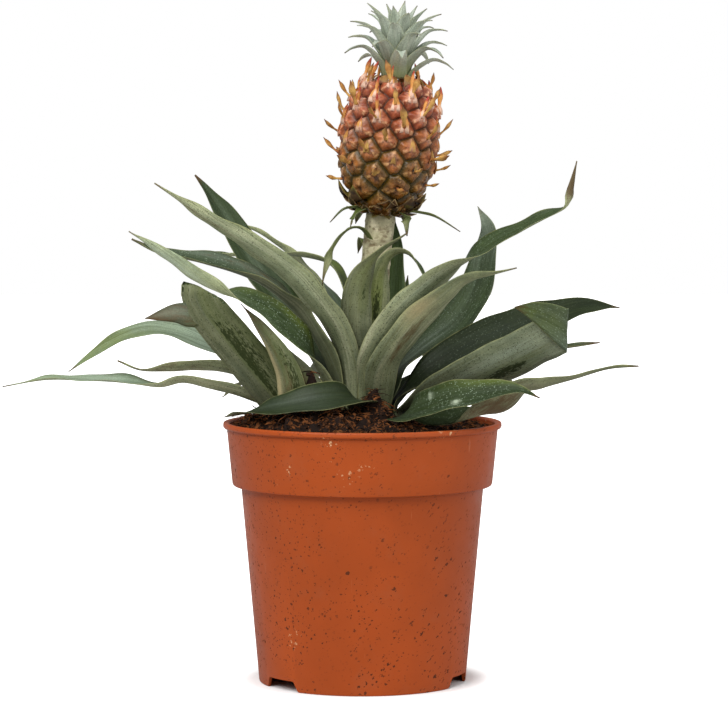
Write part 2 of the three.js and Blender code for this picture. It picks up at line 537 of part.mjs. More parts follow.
function fruitGeometry() {
  const draw = seededDraw(11);
  const { lerp } = THREE.MathUtils;
  const profile = [[0, CORE_INSET]];
  for (let i = 0; i <= CORE_STEPS; i += 1) {
    const share = lerp(...CORE_ENDS, i / CORE_STEPS);
    profile.push([barrel(share) - CORE_INSET, share * FRUIT_LENGTH]);
  }
  profile.push([0, FRUIT_LENGTH - CORE_INSET - CORE_DIP]);
  let fruit = toSolid(lathe(profile, CORE_SIDES));
  for (let i = 0; i < EYE_COUNT; i += 1) {
    const share = lerp(EYE_FIRST, EYE_LAST, ((i + 0.5) / EYE_COUNT) ** EYE_CROWDING);
    const turn = rad(i * GOLDEN_TURN);
    const growth = lerp(EYE_GROWTH.foot, EYE_GROWTH.top, share);
    const scale = growth * lerp(EYE_LEAST, 1, barrel(share) / FRUIT_RADIUS);
    fruit = fruit.add(toSolid(onBarrel(eyeGeometry(scale), share, turn, 0)));
    if (share > FLOWER_FIRST && draw(0, 1) < FLOWER_SHARE) {
      const length = FLOWER_LENGTH * draw(...FLOWER_LENGTHS);
      const flower = new THREE.ConeGeometry(FLOWER_RADIUS, length, 3).translate(0, length / 2, 0);
      flower.rotateX(draw(...FLOWER_LEAN)).rotateZ(draw(-FLOWER_TURN, FLOWER_TURN));
      fruit = fruit.add(toSolid(onBarrel(flower, share, turn, EYE_HEIGHT)));
    }
  }
  const foot = new THREE.Matrix4().makeTranslation(...FRUIT_BASE)
    .multiply(new THREE.Matrix4().makeRotationY(rad(FRUIT_TILT))).invert();
  for (const spine of FRUIT_BRACTS) {
    const local = spine.map(([x, y, z, turn]) => [...new THREE.Vector3(x, y, z).applyMatrix4(foot), turn]);
    fruit = fruit.add(bractSolid(local));
  }
  return toGeometry(fruit);
}

function crownGeometry() {
  const draw = seededDraw(5);
  const { lerp } = THREE.MathUtils;
  const varied = () => draw(1 - CROWN_VARIETY, 1 + CROWN_VARIETY);
  let crown = toSolid(lathe(CROWN_CORE, CROWN_SIDES));
  for (let i = 0; i < CROWN_LEAVES; i += 1) {
    const age = 1 - i / (CROWN_LEAVES - 1);
    const turn = rad(i * GOLDEN_TURN);
    const inward = new THREE.Vector3(-Math.cos(turn), -Math.sin(turn), 0);
    const aged = (measure, share = age) => lerp(CROWN_YOUNG[measure], CROWN_OLD[measure], share);
    const reach = aged('reach', 1 - (1 - age) ** CROWN_SPREAD) * varied();
    const height = aged('height', age ** CROWN_SINK) * varied();
    const spine = CROWN_OUT.map((share, k) => {
      const out = aged('root') + share * reach;
      const rise = lerp(CROWN_UP.young[k], CROWN_UP.old[k], age);
      const up = lerp(aged('foot'), height, rise) + aged('arch') * Math.sin(Math.PI * share);
      return [-inward.x * out, -inward.y * out, up, 0];
    });
    crown = crown.add(toSolid(blade({ ...CROWN_BLADE, width: aged('width'), spine, inward })));
  }
  return toGeometry(crown);
}

const finish = (color, roughness) => new THREE.MeshStandardMaterial({ color, roughness, metalness: 0 });
const clay = finish(0xb4532b, 0.45);
const coir = finish(0x3a241a, 0.95);
const stalkGreen = finish(0xb9b795, 0.6);
const leafGreen = finish(0x4d6650, 0.5);
const fruitRed = finish(0xa8634a, 0.45);
const crownGreen = finish(0x8a9b84, 0.55);

const plant = new THREE.Group();

function place(parent, name, geometry, material) {
  const mesh = new THREE.Mesh(geometry, material);
  mesh.name = name;
  parent.add(mesh);
  return mesh;
}

function leaning([x, y, z], tilt) {
  const holder = new THREE.Group();
  holder.position.set(x, y, z);
  holder.rotation.y = rad(tilt);
  plant.add(holder);
  return holder;
}

place(plant, 'pot', potGeometry(), clay);
place(plant, 'soil', soilGeometry(LEAVES), coir);
place(plant, 'stalk', stalkGeometry(), stalkGreen);
for (const leaf of LEAVES) {
  place(plant, leaf.name, leafGeometry(leaf), leafGreen);
}
place(leaning(FRUIT_BASE, FRUIT_TILT), 'fruit', fruitGeometry(), fruitRed);
place(leaning(CROWN_BASE, CROWN_TILT), 'crown', crownGeometry(), crownGreen);

export default plant;
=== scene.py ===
import json
import math

import bmesh
import bpy
import numpy as np
from mathutils import Matrix, Vector, noise

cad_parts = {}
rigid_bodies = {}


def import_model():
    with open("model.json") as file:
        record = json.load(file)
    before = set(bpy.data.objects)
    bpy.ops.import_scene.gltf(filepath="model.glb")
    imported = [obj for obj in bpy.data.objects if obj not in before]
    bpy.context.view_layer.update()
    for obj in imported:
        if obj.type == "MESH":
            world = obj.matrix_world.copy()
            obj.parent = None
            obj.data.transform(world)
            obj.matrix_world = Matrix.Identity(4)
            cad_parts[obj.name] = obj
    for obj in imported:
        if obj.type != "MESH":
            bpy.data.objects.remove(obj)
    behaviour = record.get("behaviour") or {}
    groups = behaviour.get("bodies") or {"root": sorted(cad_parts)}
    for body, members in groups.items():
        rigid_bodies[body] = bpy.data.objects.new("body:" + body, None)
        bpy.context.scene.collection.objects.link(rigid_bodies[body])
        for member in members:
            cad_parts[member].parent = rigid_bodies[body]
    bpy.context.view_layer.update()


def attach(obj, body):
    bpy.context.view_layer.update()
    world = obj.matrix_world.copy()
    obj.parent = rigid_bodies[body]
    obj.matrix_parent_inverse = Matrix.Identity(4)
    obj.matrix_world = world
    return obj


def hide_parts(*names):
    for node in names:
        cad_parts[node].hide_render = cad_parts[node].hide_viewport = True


# An ornamental pineapple in a nursery pot. Sizes are in millimetres up to the meshes, which are in metres.

bl_info = {
    "name": "Potted pineapple plant",
    "version": (1, 0, 0),
    "blender": (4, 5, 0),
    "location": "3D View > Sidebar > Pineapple",
    "description": "Leaves, fruit, crown, soil and pot of a small potted pineapple",
    "category": "Add Mesh",
}

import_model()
MM = 0.001
TURN = 2 * math.pi

# Edges that turn by more than this many degrees are sharp
POT_SHARP = 28
CHIP_SHARP = 40
STALK_SHARP = 60

# The seeds of what is drawn at random
SOIL_SEED = 4
LITTER_SEED = 3
FRUIT_SEED = 11
COPIES_SEED = 7
CROWN_SEED = 5

# The stem's rings: radius, width of a leaf's base, height of its neck
STEM_X = 3
RINGS = [(7.0, 7.8, 123), (9.1, 8.6, 121), (11.2, 9.4, 119), (13.3, 9.8, 116), (15.4, 10.4, 112)]
LEAF_FOOT = 104.3
NECK_LENGTH = 6
BEND_OUT = 0.15
BEND_UP = 0.3
INWARD_LEAN = 0.4
CHANNEL = 0.13
SOIL_BLADE_FOOT = 0.8
SWELL_START = 0.08
TAPER_START = 0.3
FULLNESS = 2.4
CHANNEL_CURVE = 1.4
RIPPLE_CURVE = 2.2
RIPPLE_START = (0.22, 0.45)
RIPPLE_END = (0.85, 1.0)
EDGE_THINNING = 0.72
TIP_THICKNESS = 0.6
STEP_LENGTH = 1.7
LEAST_STEPS = 14
SPLINE_SAMPLES = 400
# Millimetres to one unit of a blade's texture, across and along
TEXTURE_ACROSS = 20
TEXTURE_ALONG = 10
GOLDEN_SHARE = 0.618034
GOLDEN_TURN = math.radians(137.508)
UPPER_TONE = 1.1
FOLD_RADIUS = 1.1
FOLD_FLATNESS = 0.85
FOLD_LEAD = 9
MARK_KINDS = ("algae", "dry", "yellow", "silver", "dots", "pale")
WHOLE_WIDTH = (0, 2)
# The ripple of either margin: length and shift of its long wave, then of its short one
MARGIN_WAVES = ((31, 6.3, 17, 21), (27, 14, 19, 3))
TIP_MARKS = [("dry", 1.0, 0.035, 1.0)]

# A spine point is x, y, z and the turn of the upper face towards the front, in degrees.
# A mark is kind, share along the leaf, its spread and its strength. One that isn't as wide as the leaf
# also has its place across, from -1 to 1, and its spread across.
# A fold is x, z and rise in degrees of the line that it lies on in a front view, and 1 if it comes forward.
LEAVES = {
    # Young leaves round the stalk
    "leaf_01": {"tone": 0.62, "ring": 1, "turn": 248, "width": 15,
        "marks": [("algae", 0.66, 0.09, 1.9, -0.45, 0.3), ("yellow", 0.78, 0.14, 0.5, 0.2, 0.5),
            ("dots", 0.5, 0.5, 0.8)],
        "spine": [[-2, -13.5, 143, 0], [-3, -17, 159, 0], [-1, -19, 172, 0], [6, -21, 184, 8],
            [19, -23, 194, 20]]},
    "leaf_02": {"tone": 0.95, "ring": 0, "turn": 289, "width": 13,
        "marks": [("algae", 0.55, 0.14, 2.4, 0.15, 0.4), ("yellow", 0.62, 0.2, 1.0, 0.2, 0.6),
            ("dots", 0.5, 0.4, 0.9)],
        "spine": [[6, -8.8, 143, 0], [6.5, -10, 161, 0], [8, -11, 176, 0], [12.5, -12, 184, 0],
            [19, -14, 185, 10], [24, -15, 180, 20], [28, -16, 172, 30]]},
    # Its upper face is made lighter: painted light, where it stands behind the stalk away from the lamps
    "leaf_03": {"tone": 1.0, "upper": 1.9, "ring": 0, "turn": 21, "width": 15,
        "spine": [[12.5, 6, 144, 20], [13.5, 9, 159, 35], [14, 12, 175, 40], [15, 13, 188, 40],
            [14, 13, 199, 40]]},
    "leaf_04": {"ring": 1, "turn": 107, "width": 10,
        "spine": [[6, 17, 142, 0], [13, 23, 156, 0], [18.5, 26, 166, 10], [20, 30, 174, 10]]},
    "leaf_05": {"tone": 1.9, "ring": 0, "turn": 160, "width": 10,
        "marks": [("yellow", 0.45, 0.12, 0.6)],
        "spine": [[-4.5, 5, 152, 0], [-8, 9, 171, -10], [-13, 14, 179, -10], [-21, 21, 182, -5],
            [-34, 35, 183, 0], [-52, 51, 182, 0], [-70, 61, 183, 0], [-85, 67, 184, 0]]},
    # Rising leaves
    "leaf_06": {"tone": 1.5, "upper": 0.9, "ring": 2, "turn": 270, "width": 15.5, "full": 2.1,
        "channel": 0.17,
        "marks": [("dots", 0.4, 0.3, 0.8), ("silver", 0.45, 0.12, 0.6, 0.3, 0.5),
            ("dry", 0.965, 0.055, 1.7)],
        "spine": [[5, -18, 140, 0], [15, -24, 157, -15], [27, -30, 169, -15], [37, -36, 178, 12],
            [46.5, -41, 184.5, 40], [56, -45, 190.7, 46], [66, -49, 196, 46], [76, -53, 201.3, 42],
            [84, -55, 205.6, 25], [86, -56, 213, 10], [88, -58, 224, 10]]},
    "leaf_07": {"tone": 0.9, "ring": 1, "turn": 15, "width": 18, "full": 3.5,
        "marks": [("silver", 0.4, 0.16, 1.1, -0.1, 0.35), ("silver", 0.96, 0.13, 2.4),
            ("pale", 1.0, 0.1, 0.6), ("dots", 0.6, 0.4, 0.5)],
        "spine": [[15, 10, 133, 0], [26, 25, 142, 30], [41, 34, 153, 45], [50, 40, 166, 48],
            [54, 44, 180, 48], [56, 44, 193, 48], [51, 40, 204, 48]]},
    "leaf_08": {"tone": 1.7, "ring": 1, "turn": 165, "width": 13,
        "marks": [("silver", 0.6, 0.2, 0.7, 0.2, 0.5)],
        "spine": [[-8, 13, 150, 0], [-16, 27, 168, -20], [-32, 43, 183, -35], [-45, 51, 192, -30],
            [-57, 57, 197, -20]]},
    "leaf_09": {"tone": 0.8, "ring": 2, "turn": 112, "width": 14,
        "spine": [[-1, 24, 136, 0], [-5, 40, 146, 0], [-8, 60, 149, 0], [-11, 81, 145, 0],
            [-14, 98, 136, 0]]},
    "leaf_10": {"tone": 1.52, "ring": 2, "turn": 215, "width": 15.5,
        "marks": [("dots", 0.55, 0.4, 1.0), ("silver", 0.6, 0.3, 0.5, 0, 0.8),
            ("dry", 0.8, 0.18, 0.35, 0.2, 0.6)],
        "spine": [[-8, -12, 143, 0], [-15, -19, 158, -20], [-30, -28, 176, -35], [-47, -35, 189, -38],
            [-67, -42, 202, -35], [-86, -47, 215, -20]]},
    "leaf_11": {"tone": 1.12, "ring": 3, "turn": 288, "width": 15,
        "marks": [("dry", 0.47, 0.17, 0.8, -0.1, 0.28), ("pale", 0.6, 0.07, 0.9, 0.6, 0.5),
            ("dots", 0.3, 0.2, 0.8)],
        "spine": [[9, -22, 136, -5], [17, -29, 149, -30], [26, -35, 160, -35], [35, -40, 168, -25],
            [42, -42, 174, -5], [53, -45, 177, 0], [64, -47, 180, 0]]},
    "leaf_12": {"tone": 0.33, "ring": 2, "turn": 4, "width": 18, "full": 3.5,
        "marks": [("silver", 0.5, 0.2, 0.5, -0.15, 0.3), ("silver", 0.38, 0.1, 0.4, 0.3, 0.4),
            ("dots", 0.5, 0.4, 0.2)],
        "spine": [[25, 3, 129, 20], [37, 8, 137.5, 52], [51, 16, 145, 62], [67, 23, 151.5, 62],
            [83, 29, 156.5, 60], [99, 35, 160, 50], [114, 40, 159.5, 30]]},
    "leaf_13": {"ring": 2, "turn": 57, "width": 14,
        "spine": [[12, 24, 131, 0], [19, 42, 139, 0], [25, 62, 142, 0], [29, 82, 138, 0],
            [31, 98, 129, 0]]},
    "leaf_14": {"tone": 0.8, "ring": 3, "turn": 204, "width": 16.5, "channel": 0.27,
        "marks": [("dry", 0.6, 0.26, 0.4, 0.7, 0.3), ("silver", 0.68, 0.3, 0.9, 0.7, 0.4),
            ("dots", 0.8, 0.2, 0.8)],
        "spine": [[-17, -6, 142, 0], [-28, -5, 159, 5], [-45, -10, 173, 22], [-67, -12, 181, 34],
            [-86, -13, 185, 30], [-98, -14, 191, 20]]},
    "leaf_15": {"tone": 0.8, "ring": 3, "turn": 154, "width": 17, "full": 4,
        "marks": [("silver", 0.65, 0.3, 0.4, 0.1, 0.5)],
        "spine": [[-16, 12, 137, 10], [-26, 20, 149, 30], [-38, 27, 165, 38], [-51, 33, 184, 38],
            [-62, 37, 202, 35], [-74, 41, 218, 25]]},
    "leaf_16": {"tone": 0.8, "ring": 4, "turn": 346, "width": 13,
        "marks": [("dry", 0.5, 0.12, 0.8), ("dots", 0.5, 0.3, 0.8)],
        "spine": [[23, -12, 117, 30], [32, -24, 115.5, 40], [43, -35, 116.5, 20], [50, -41, 119, -30],
            [59, -44, 124, -60], [67, -46, 130, -40], [76, -47, 131, -20], [88, -47, 134, -10],
            [102, -46, 138, -10], [115, -45, 139, -10]]},
    "leaf_17": {"tone": 0.78, "ring": 3, "turn": 353, "width": 19.5, "full": 6.5,
        "fold": (83.2, 154.3, 90, 1),
        "marks": [("algae", 0.54, 0.13, 2.7, -0.42, 0.34), ("silver", 0.6, 0.4, 0.9),
            ("dots", 0.6, 0.4, 1.0), ("yellow", 0.95, 0.13, 0.45)],
        "spine": [[25, -9, 121, -30], [36, -20, 127, -55], [48, -32, 134, -70], [61, -42, 141, -75],
            [73, -50, 148, -75], [83.6, -54.3, 154.3, -75], [90, -57.1, 158.1, -75],
            [96, -59.4, 160.6, -75], [102, -61, 161.8, -75], [108, -62.2, 162, -75]]},
    "leaf_18": {"tone": 0.85, "ring": 3, "turn": 102, "width": 14,
        "marks": [("silver", 0.6, 0.3, 0.6, 0, 0.5)],
        "spine": [[-2, 30, 124, 0], [-9, 50, 131, 0], [-16, 72, 132, 0], [-22, 92, 126, 0],
            [-26, 106, 116, 0]]},
    "leaf_19": {"ring": 3, "turn": 52, "width": 14,
        "spine": [[19, 25, 125, 0], [34, 40, 130, 0], [49, 56, 131, 0], [62, 70, 127, 0],
            [72, 81, 119, 0]]},
    # Old leaves that lie low over the rim
    "leaf_20": {"tone": 2.1, "ring": 4, "turn": 210, "width": 15,
        "marks": [("dots", 0.42, 0.2, 1.3), ("yellow", 0.4, 0.2, 0.7, 0.9, 0.3),
            ("silver", 0.85, 0.16, 1.3)],
        "spine": [[-19, -14, 136, 15], [-27, -19, 149, 45], [-39, -24, 160, 50], [-50, -28, 166, 35],
            [-59, -31, 169, 0], [-70, -35, 176, -35], [-82, -39, 185, -40], [-97, -43, 195, -25]]},
    "leaf_21": {"tone": 1.4, "upper": 1.4, "ring": 4, "turn": 165, "width": 14,
        "marks": [("silver", 0.5, 0.5, 1.8), ("yellow", 0.85, 0.16, 0.7),
            ("algae", 0.86, 0.08, 0.6, 0.2, 0.6), ("dots", 0.6, 0.4, 0.6)],
        "spine": [[-27, 11, 127, 20], [-49, 17, 138, 30], [-68, 21, 144, 30], [-82, 24, 149, 30],
            [-97, 25, 150, 30], [-113, 25, 143, 30], [-129, 24, 132, 20]]},
    "leaf_22": {"tone": 0.42, "ring": 4, "turn": 258, "width": 15,
        "marks": [("silver", 0.62, 0.2, 0.8, 0.2, 0.35), ("silver", 0.5, 0.1, 0.5, -0.5, 0.3)],
        "spine": [[-1, -27, 123, 30], [-9, -33, 125, 50], [-21, -36, 124, 55], [-35, -34, 121, 50],
            [-48, -25, 118, 35], [-59, -10, 115, 10]]},
    "leaf_23": {"tone": 0.7, "ring": 4, "turn": 300, "width": 16,
        "marks": [("dots", 0.62, 0.3, 0.9), ("yellow", 0.75, 0.2, 0.5, -0.9, 0.3),
            ("pale", 0.6, 0.016, 1.9, 0.45, 0.15), ("pale", 0.44, 0.011, 1.5, -0.5, 0.13)],
        "spine": [[18, -28, 117.5, 45], [27, -38, 122, 56], [38, -47, 126, 60], [52, -55, 129, 60],
            [64, -60, 130, 50], [73, -63, 127, 40]]},
    "leaf_24": {"tone": 0.85, "ring": 4, "turn": 29, "width": 12,
        "marks": [("dry", 0.9, 0.15, 0.4)],
        "spine": [[28, 11, 122, 10], [40, 16, 131, 20], [60, 21, 139, 20], [78, 23, 142, 20],
            [91, 24, 143, 15], [104, 23, 145, 10]]},
    "leaf_25": {"ring": 4, "turn": 120, "width": 13,
        "spine": [[-20, 28, 122, 0], [-36, 46, 127, 0], [-52, 64, 125, 0], [-64, 78, 117, 0]]},
    # Leaves that come up through the soil at the left
    "leaf_26": {"tone": 0.6, "width": 18.6, "full": 3.3, "fold": (-69.3, 169.6, -27, 0),
        "marks": [("algae", 0.36, 0.27, 2.5, -0.05, 0.15), ("algae", 0.42, 0.3, 1.8, -0.5, 0.5),
            ("dots", 0.5, 0.3, 1.8), ("yellow", 0.76, 0.06, 0.55), ("silver", 0.9, 0.1, 0.5),
            ("dry", 0.93, 0.14, 0.75), ("pale", 0.9, 0.09, 0.45, 0.2, 0.6)],
        "spine": [[-31, -15, 100, -80], [-32, -15, 110, -80], [-36, -15, 122, -80], [-43, -15.5, 132, -80],
            [-52, -16, 143, -80], [-60.5, -16, 153, -80], [-67, -16, 162, -80], [-69.3, -16, 169.6, -80],
            [-63.5, -16, 175.5, -80], [-61, -16, 181, -80], [-66, -16, 187.5, -80],
            [-71.5, -16, 199, -80]]},
    "leaf_27": {"tone": 0.56, "width": 12.5, "full": 1.6,
        "marks": [("pale", 0.45, 0.4, 1.0, 0.9, 0.24), ("dry", 0.95, 0.2, 0.6),
            ("dry", 0.4, 0.3, 0.4, 0.1, 0.4), ("algae", 0.45, 0.4, 2.0, -0.35, 0.7),
            ("dots", 0.5, 0.5, 1.0)],
        "spine": [[-28, -27, 100, -80], [-28.3, -27, 111, -80], [-29.3, -27, 123, -80],
            [-31.3, -27, 134, -80], [-35, -27, 142.5, -78], [-39.5, -27, 149.5, -70],
            [-44.5, -27, 156, -60], [-51, -27, 164, -50]]},
    "leaf_28": {"tone": 1.4, "width": 13,
        "marks": [("dry", 0.8, 0.3, 0.45), ("dots", 0.5, 0.5, 0.7)],
        "spine": [[-29, 7, 100, -20], [-32, 7, 112, -20], [-38, 7, 125, -25], [-49, 7, 131, -28],
            [-68, 7, 135, -28], [-83, 7, 134, -25], [-96, 7, 134, -15], [-106, 7, 138, -5]]},
    "leaf_29": {"tone": 1.55, "upper": 1.5, "width": 12,
        "marks": [("yellow", 0.92, 0.14, 0.5), ("silver", 0.85, 0.25, 1.8),
            ("dry", 0.5, 0.3, 0.4, 0.7, 0.4), ("dots", 0.5, 0.5, 0.8)],
        "spine": [[-28, -4, 100, -20], [-29, -4, 110, -20], [-35, -4, 118, -25], [-44, -4.5, 121, -25],
            [-55, -5, 125, -25], [-67, -7, 128, -25], [-77, -9, 130, -15], [-87, -9, 128, 0],
            [-101, -9, 130, 15], [-119, -10, 131, 15], [-136, -10, 131, 10], [-154, -10, 128, 5]]},
    "leaf_30": {"tone": 0.36, "width": 14, "full": 2,
        "marks": [("dry", 0.6, 0.4, 0.7, 0.2, 0.8), ("algae", 0.55, 0.3, 1.5, -0.2, 0.4),
            ("dots", 0.5, 0.5, 1.2)],
        "spine": [[-17, -22, 100, -80], [-17.5, -22, 112, -80], [-20.5, -22, 123, -80],
            [-26, -22, 132, -78], [-31.5, -22, 139.5, -75], [-36.5, -22, 145.5, -70],
            [-42, -22, 151, -50]]},
}
# The spines of the thin bracts that grow from the stalk and from the fruit's foot
STALK_BRACTS = [
    [[6, -2, 187, 0], [0, -7, 195, 0], [-6, -9, 195, 0], [-12, -10, 188, 0], [-16, -11, 178, 0],
        [-17, -11, 171, 0]],
    [[5, 2, 180, 0], [2, 9, 189, 0], [0, 16, 190, 0], [-2, 22, 184, 0]],
]
FRUIT_BRACTS = [
    [[4, -2, 205, 0], [-2, -4, 204.5, 0], [-8, -5, 203.5, 0], [-14, -6, 198, 0]],
    [[3, -5, 205, 0], [-1, -9, 203, 0], [-4, -11, 200, 0], [-5, -12, 196, 0]],
    [[13, -2, 205, 0], [18, -3, 203, 0], [25, -4, 202, 0], [32, -4, 200, 0], [42, -4, 194, 0]],
    [[13, -3, 205, 0], [17, -6, 202, 0], [19, -7, 198, 0], [19, -7, 192, 0]],
    [[5, 4, 205, 0], [2, 10, 203.5, 0], [-1, 15, 202, 0], [-3, 19, 197, 0]],
    [[12, 4, 205, 0], [16, 11, 203.5, 0], [18, 17, 201.5, 0], [19, 22, 196, 0]],
]
BRACT_WIDTH = 5.6
BRACT_FOOT = 4
BRACT_BLADE = {"channel": 0.1, "thickness": 0.6, "columns": 7, "steps": 26, "wave": 0.12, "tone": 1.1,
               "marks": [("yellow", 0.4, 0.45, 0.9), ("dry", 1.0, 0.2, 1.0)]}

STALK_COURSE = [[3, 0, 80], [3, 0, 112], [4.1, 0, 145], [5.6, 0, 178], [7.98, 0, 201.7]]
STALK_RADIUS = 6.1
STALK_ROWS = 150
STALK_SPOKES = 48
STALK_NODE_GAP = 9.5
STALK_NODE_RISE = 0.3
STALK_NODE_MIDDLE = 4.7
STALK_NODE_HALF = 0.8
STALK_ROUGHNESS = 0.22
STALK_FLARE = 0.05

FRUIT_BASE = (8.1, 0, 202)
FRUIT_TILT = 6.2
FRUIT_LENGTH = 59
# The fruit's radius in the grooves at even steps of its length
BARREL = [6.0, 11.4, 14.9, 17.0, 17.9, 18.1, 18.0, 17.2, 14.9, 11.2, 6.5]
FRUIT_TOP = 0.945
EYE_FIRST = 0.05
EYE_LAST = 0.91
EYE_CROWDING = 0.8
EYE_FOOT_SIZE = 1.25
EYE_TOP_SIZE = 0.82
EYE_ROUNDS = 14
# Rows and spokes of the places by which the eyes' cells are evened out
EYE_GRID = (80, 120)
FOOT_HUSKS = 38
FOOT_ROWS = 26
# The husks grow in this band at the fruit's foot, and the rest of them at this height under the crown
FOOT_BAND = (0.03, 0.15)
TOP_BAND = 0.925
# Fresh flowers stand above this height, withered ones between these two, and scales above this one
FRESH_ABOVE = 0.66
WITHERED_BAND = (0.2, 0.9)
SCALES_ABOVE = 0.3
SKIN_SPOKES = 288
SKIN_ROWS = 208
SKIN_FOOT = 0.03
SKIN_TOP = 0.05
# An eye's measures, where there are two, low on the fruit and where it is ripe
DOME_REACH = (3.4, 2.2)
DOME_SHARE = (0.95, 0.62)
PEAK_REACH = 5.2
PEAK_RISE = (0.5, 1.9)
BEAK_REACH = (1.9, 0.8)
BEAK_RISE = 0.9
PIT_REACH = 1.1
PIT_DEPTH = 1.1
FOLD_RISE = (0.12, 0.42)
ROUGHNESS = 0.24
# Dried flowers as radius and share of the length; a scale and a husk as a spine, widths and channel
FRESH_FLOWER = [(1.5, 0), (1.35, 0.18), (0.7, 0.32), (0.7, 0.46), (0.95, 0.6), (0.9, 0.74), (0.55, 0.88),
                (0.2, 1.0)]
WITHERED_FLOWER = [(1.0, 0), (0.8, 0.15), (0.65, 0.32), (1.0, 0.48), (1.35, 0.62), (1.2, 0.76), (0.55, 0.89),
                   (0.14, 1.0)]
EYE_SCALE = ([[0, -1.8, -0.8, 0], [0, -0.3, 1.0, 0], [0, 2.0, 2.2, 0], [0, 4.8, 3.6, 0]], 3.4, 4.2, 0.3)
FOOT_HUSK = ([[0, -1.5, -1.2, 0], [0, -1.2, 1.0, 0], [0, 0.2, 3.4, 0], [0, 2.8, 6.2, 0]], 7.4, 7.0, 0.22)
PETAL_BLADE = {"thickness": 0.35, "columns": 3, "steps": 6, "tip": 0.2, "full": 1.6}
# How far from an eye's middle, out of the skin, each kind of copy stands, and the drawn range of its size
FLOWER_STAND = 3.4
WITHERED_STAND = 3.2
SCALE_STAND = 2.6
HUSK_STAND = 1.0
COPY_SIZES = (0.75, 1.2)

CROWN_BASE = (14.2, 0, 257.7)
CROWN_TILT = 3.5
# A crown leaf's measures in the middle, where the youngest are, and outside
CROWN_YOUNG = {"root": 1.2, "foot": 9, "reach": 2.2, "height": 34, "width": 11.2, "arch": 0, "droop": 0}
CROWN_OLD = {"root": 5.6, "foot": 1, "reach": 18, "height": 8.6, "width": 7.2, "arch": 1.8, "droop": 3.2}
CROWN_OUT = (0, 0.13, 0.5, 0.8, 1)
CROWN_UP_YOUNG = (0, 0.33, 0.68, 0.88, 1)
CROWN_UP_OLD = (0, 0.45, 0.95, 1.02, 1)
CROWN_LEAF_FOOT = 8.6
CROWN_BLADE = {"depth": 0.18, "channel": 0.2, "full": 1.45, "thickness": 0.6, "wave": 0.1, "columns": 9,
               "steps": 24, "tip": 0.25}
CROWN_TONES = (1.45, 1.85)
CROWN_SEED_STEP = 0.618
CROWN_SPREAD = 4.5
CROWN_SINK = 1.5

SOIL_LEVEL = 108.5
SOIL_LUMP = 1.3
CRUMB_HEIGHT = 1.5
CRUMB_LENGTH = 6
# The crumbs' height at the pot's wall, as a share of their height inside it
WALL_CRUMBS = 0.35
# Heaps of soil: place, height and reach
MOUNDS = [(-16, -26, 9, 30), (-43, -12, 6, 10), (5, -23, 13, 6), (-21, -22, 18, 4.5)]
# The soil levels out between these distances from the pot's axis
SOIL_EDGE = (50, 56.5)
# What is strewn lies on the plug's faces above this height and within this radius
SOIL_SURFACE = (100, 56.2)
SOIL_SEAT = [(0, 1.6), (18.2, 1.6), (19.8, 6.4), (43.5, 6.4), (50.6, 85.9), (54.4, 87.6)]
SOIL_RINGS = np.linspace(57.0, 0.7, 84)
SOIL_SPOKES = 200
# What is strewn: length, width, thickness and bend of each shape, and the tilt; then the range of sizes
CHIPS = ([(2.2, 1.5, 0.9, 0.1), (1.4, 1.1, 0.9, 0), (3.4, 1.3, 0.8, 0.4)], 1.2)
FIBRES = ([(9, 0.34, 0.34, 1.3), (6, 0.3, 0.3, -0.8), (12, 0.3, 0.3, 2.2)], 0.45)
LITTER_SIZES = (0.45, 1.15)
# A chip's thickness at its ends, its sideways bend and its unevenness, as shares
CHIP_END = 0.35
CHIP_SWAY = 0.6
CHIP_UNEVEN = 0.12

# The pot's section: radius and height, from the axis out, up the outside and down the inside
POT_SPOKES = 192
LIP_MIDDLE = (59.4, 111.2)
LIP_ROUND = (0.6, 0.8)
POT_OUTSIDE = [(0, 0), (20, 0), (21.6, 4.8), (43.4, 4.8), (43.4, 0), (44.1, 0), (44.5, 0.2), (44.7, 0.7),
               (52.2, 83.6), (52.5, 84.4), (53.0, 84.6), (55.3, 84.8), (55.8, 85.1), (56.1, 85.9),
               (58.4, 109.2), (59.6, 109.6), (60, 110.2)]
POT_INSIDE = [(58.3, 112), (57.6, 111.8), (57.2, 111.2), (54.8, 86.9), (50.9, 85.3), (43.9, 6.1), (20.3, 6.1),
              (18.7, 1.3), (0, 1.3)]
NOTCH_TURNS = (219, 339, 99)
NOTCH_RADIUS = 44.5
NOTCH_REACH = 8
NOTCH_OUTLINE = ((-11, -1), (11, -1), (8.6, 3.9), (8.0, 4.6), (-8.0, 4.6), (-8.6, 3.9))
DRAIN_COUNT = 6
DRAIN_CIRCLE = 32
DRAIN_HEIGHT = 5.4
DRAIN_RADIUS = 3.5
DRAIN_DEPTH = 6
DRAIN_SPOKES = 32

# The stage: name, place, angle in degrees and strength of each light
LIGHTS = (("key", (-0.5, -0.8, 1.15), 55, 2.6), ("fill", (1.0, -0.65, 0.35), 80, 1.35),
          ("glint", (-0.4, -1.0, 0.7), 9, 0.35))
CAMERA_PLACE = (0.7, -1340, 222)
CAMERA_DROP = 3.49
CAMERA_LENS = 154.2
CAMERA_SENSOR = 36
CAMERA_REACH = 20
FLOOR_HALF = 4
# The floor's grey as it is seen, as it lights the plant, and its glow. The backdrop's light, and what is
# added to it where it is seen.
FLOOR_SEEN = (0.95, 0.95, 0.95, 1)
FLOOR_BOUNCE = (0.5, 0.5, 0.5, 1)
FLOOR_GLOW = (0.75, 0.75, 0.75, 1)
BACKDROP_LIGHT = 0.36
BACKDROP_SEEN = 0.64
# The floor's contact shadow fades out between these distances from the pot's axis, in metres
SHADOW_FADE = (0.046, 0.062)


def tint(red, green, blue):
    """A display colour from 0 to 255 as a linear colour"""
    parts = [value / 255 for value in (red, green, blue)]
    return (*[p / 12.92 if p <= 0.04045 else ((p + 0.055) / 1.055) ** 2.4 for p in parts], 1.0)


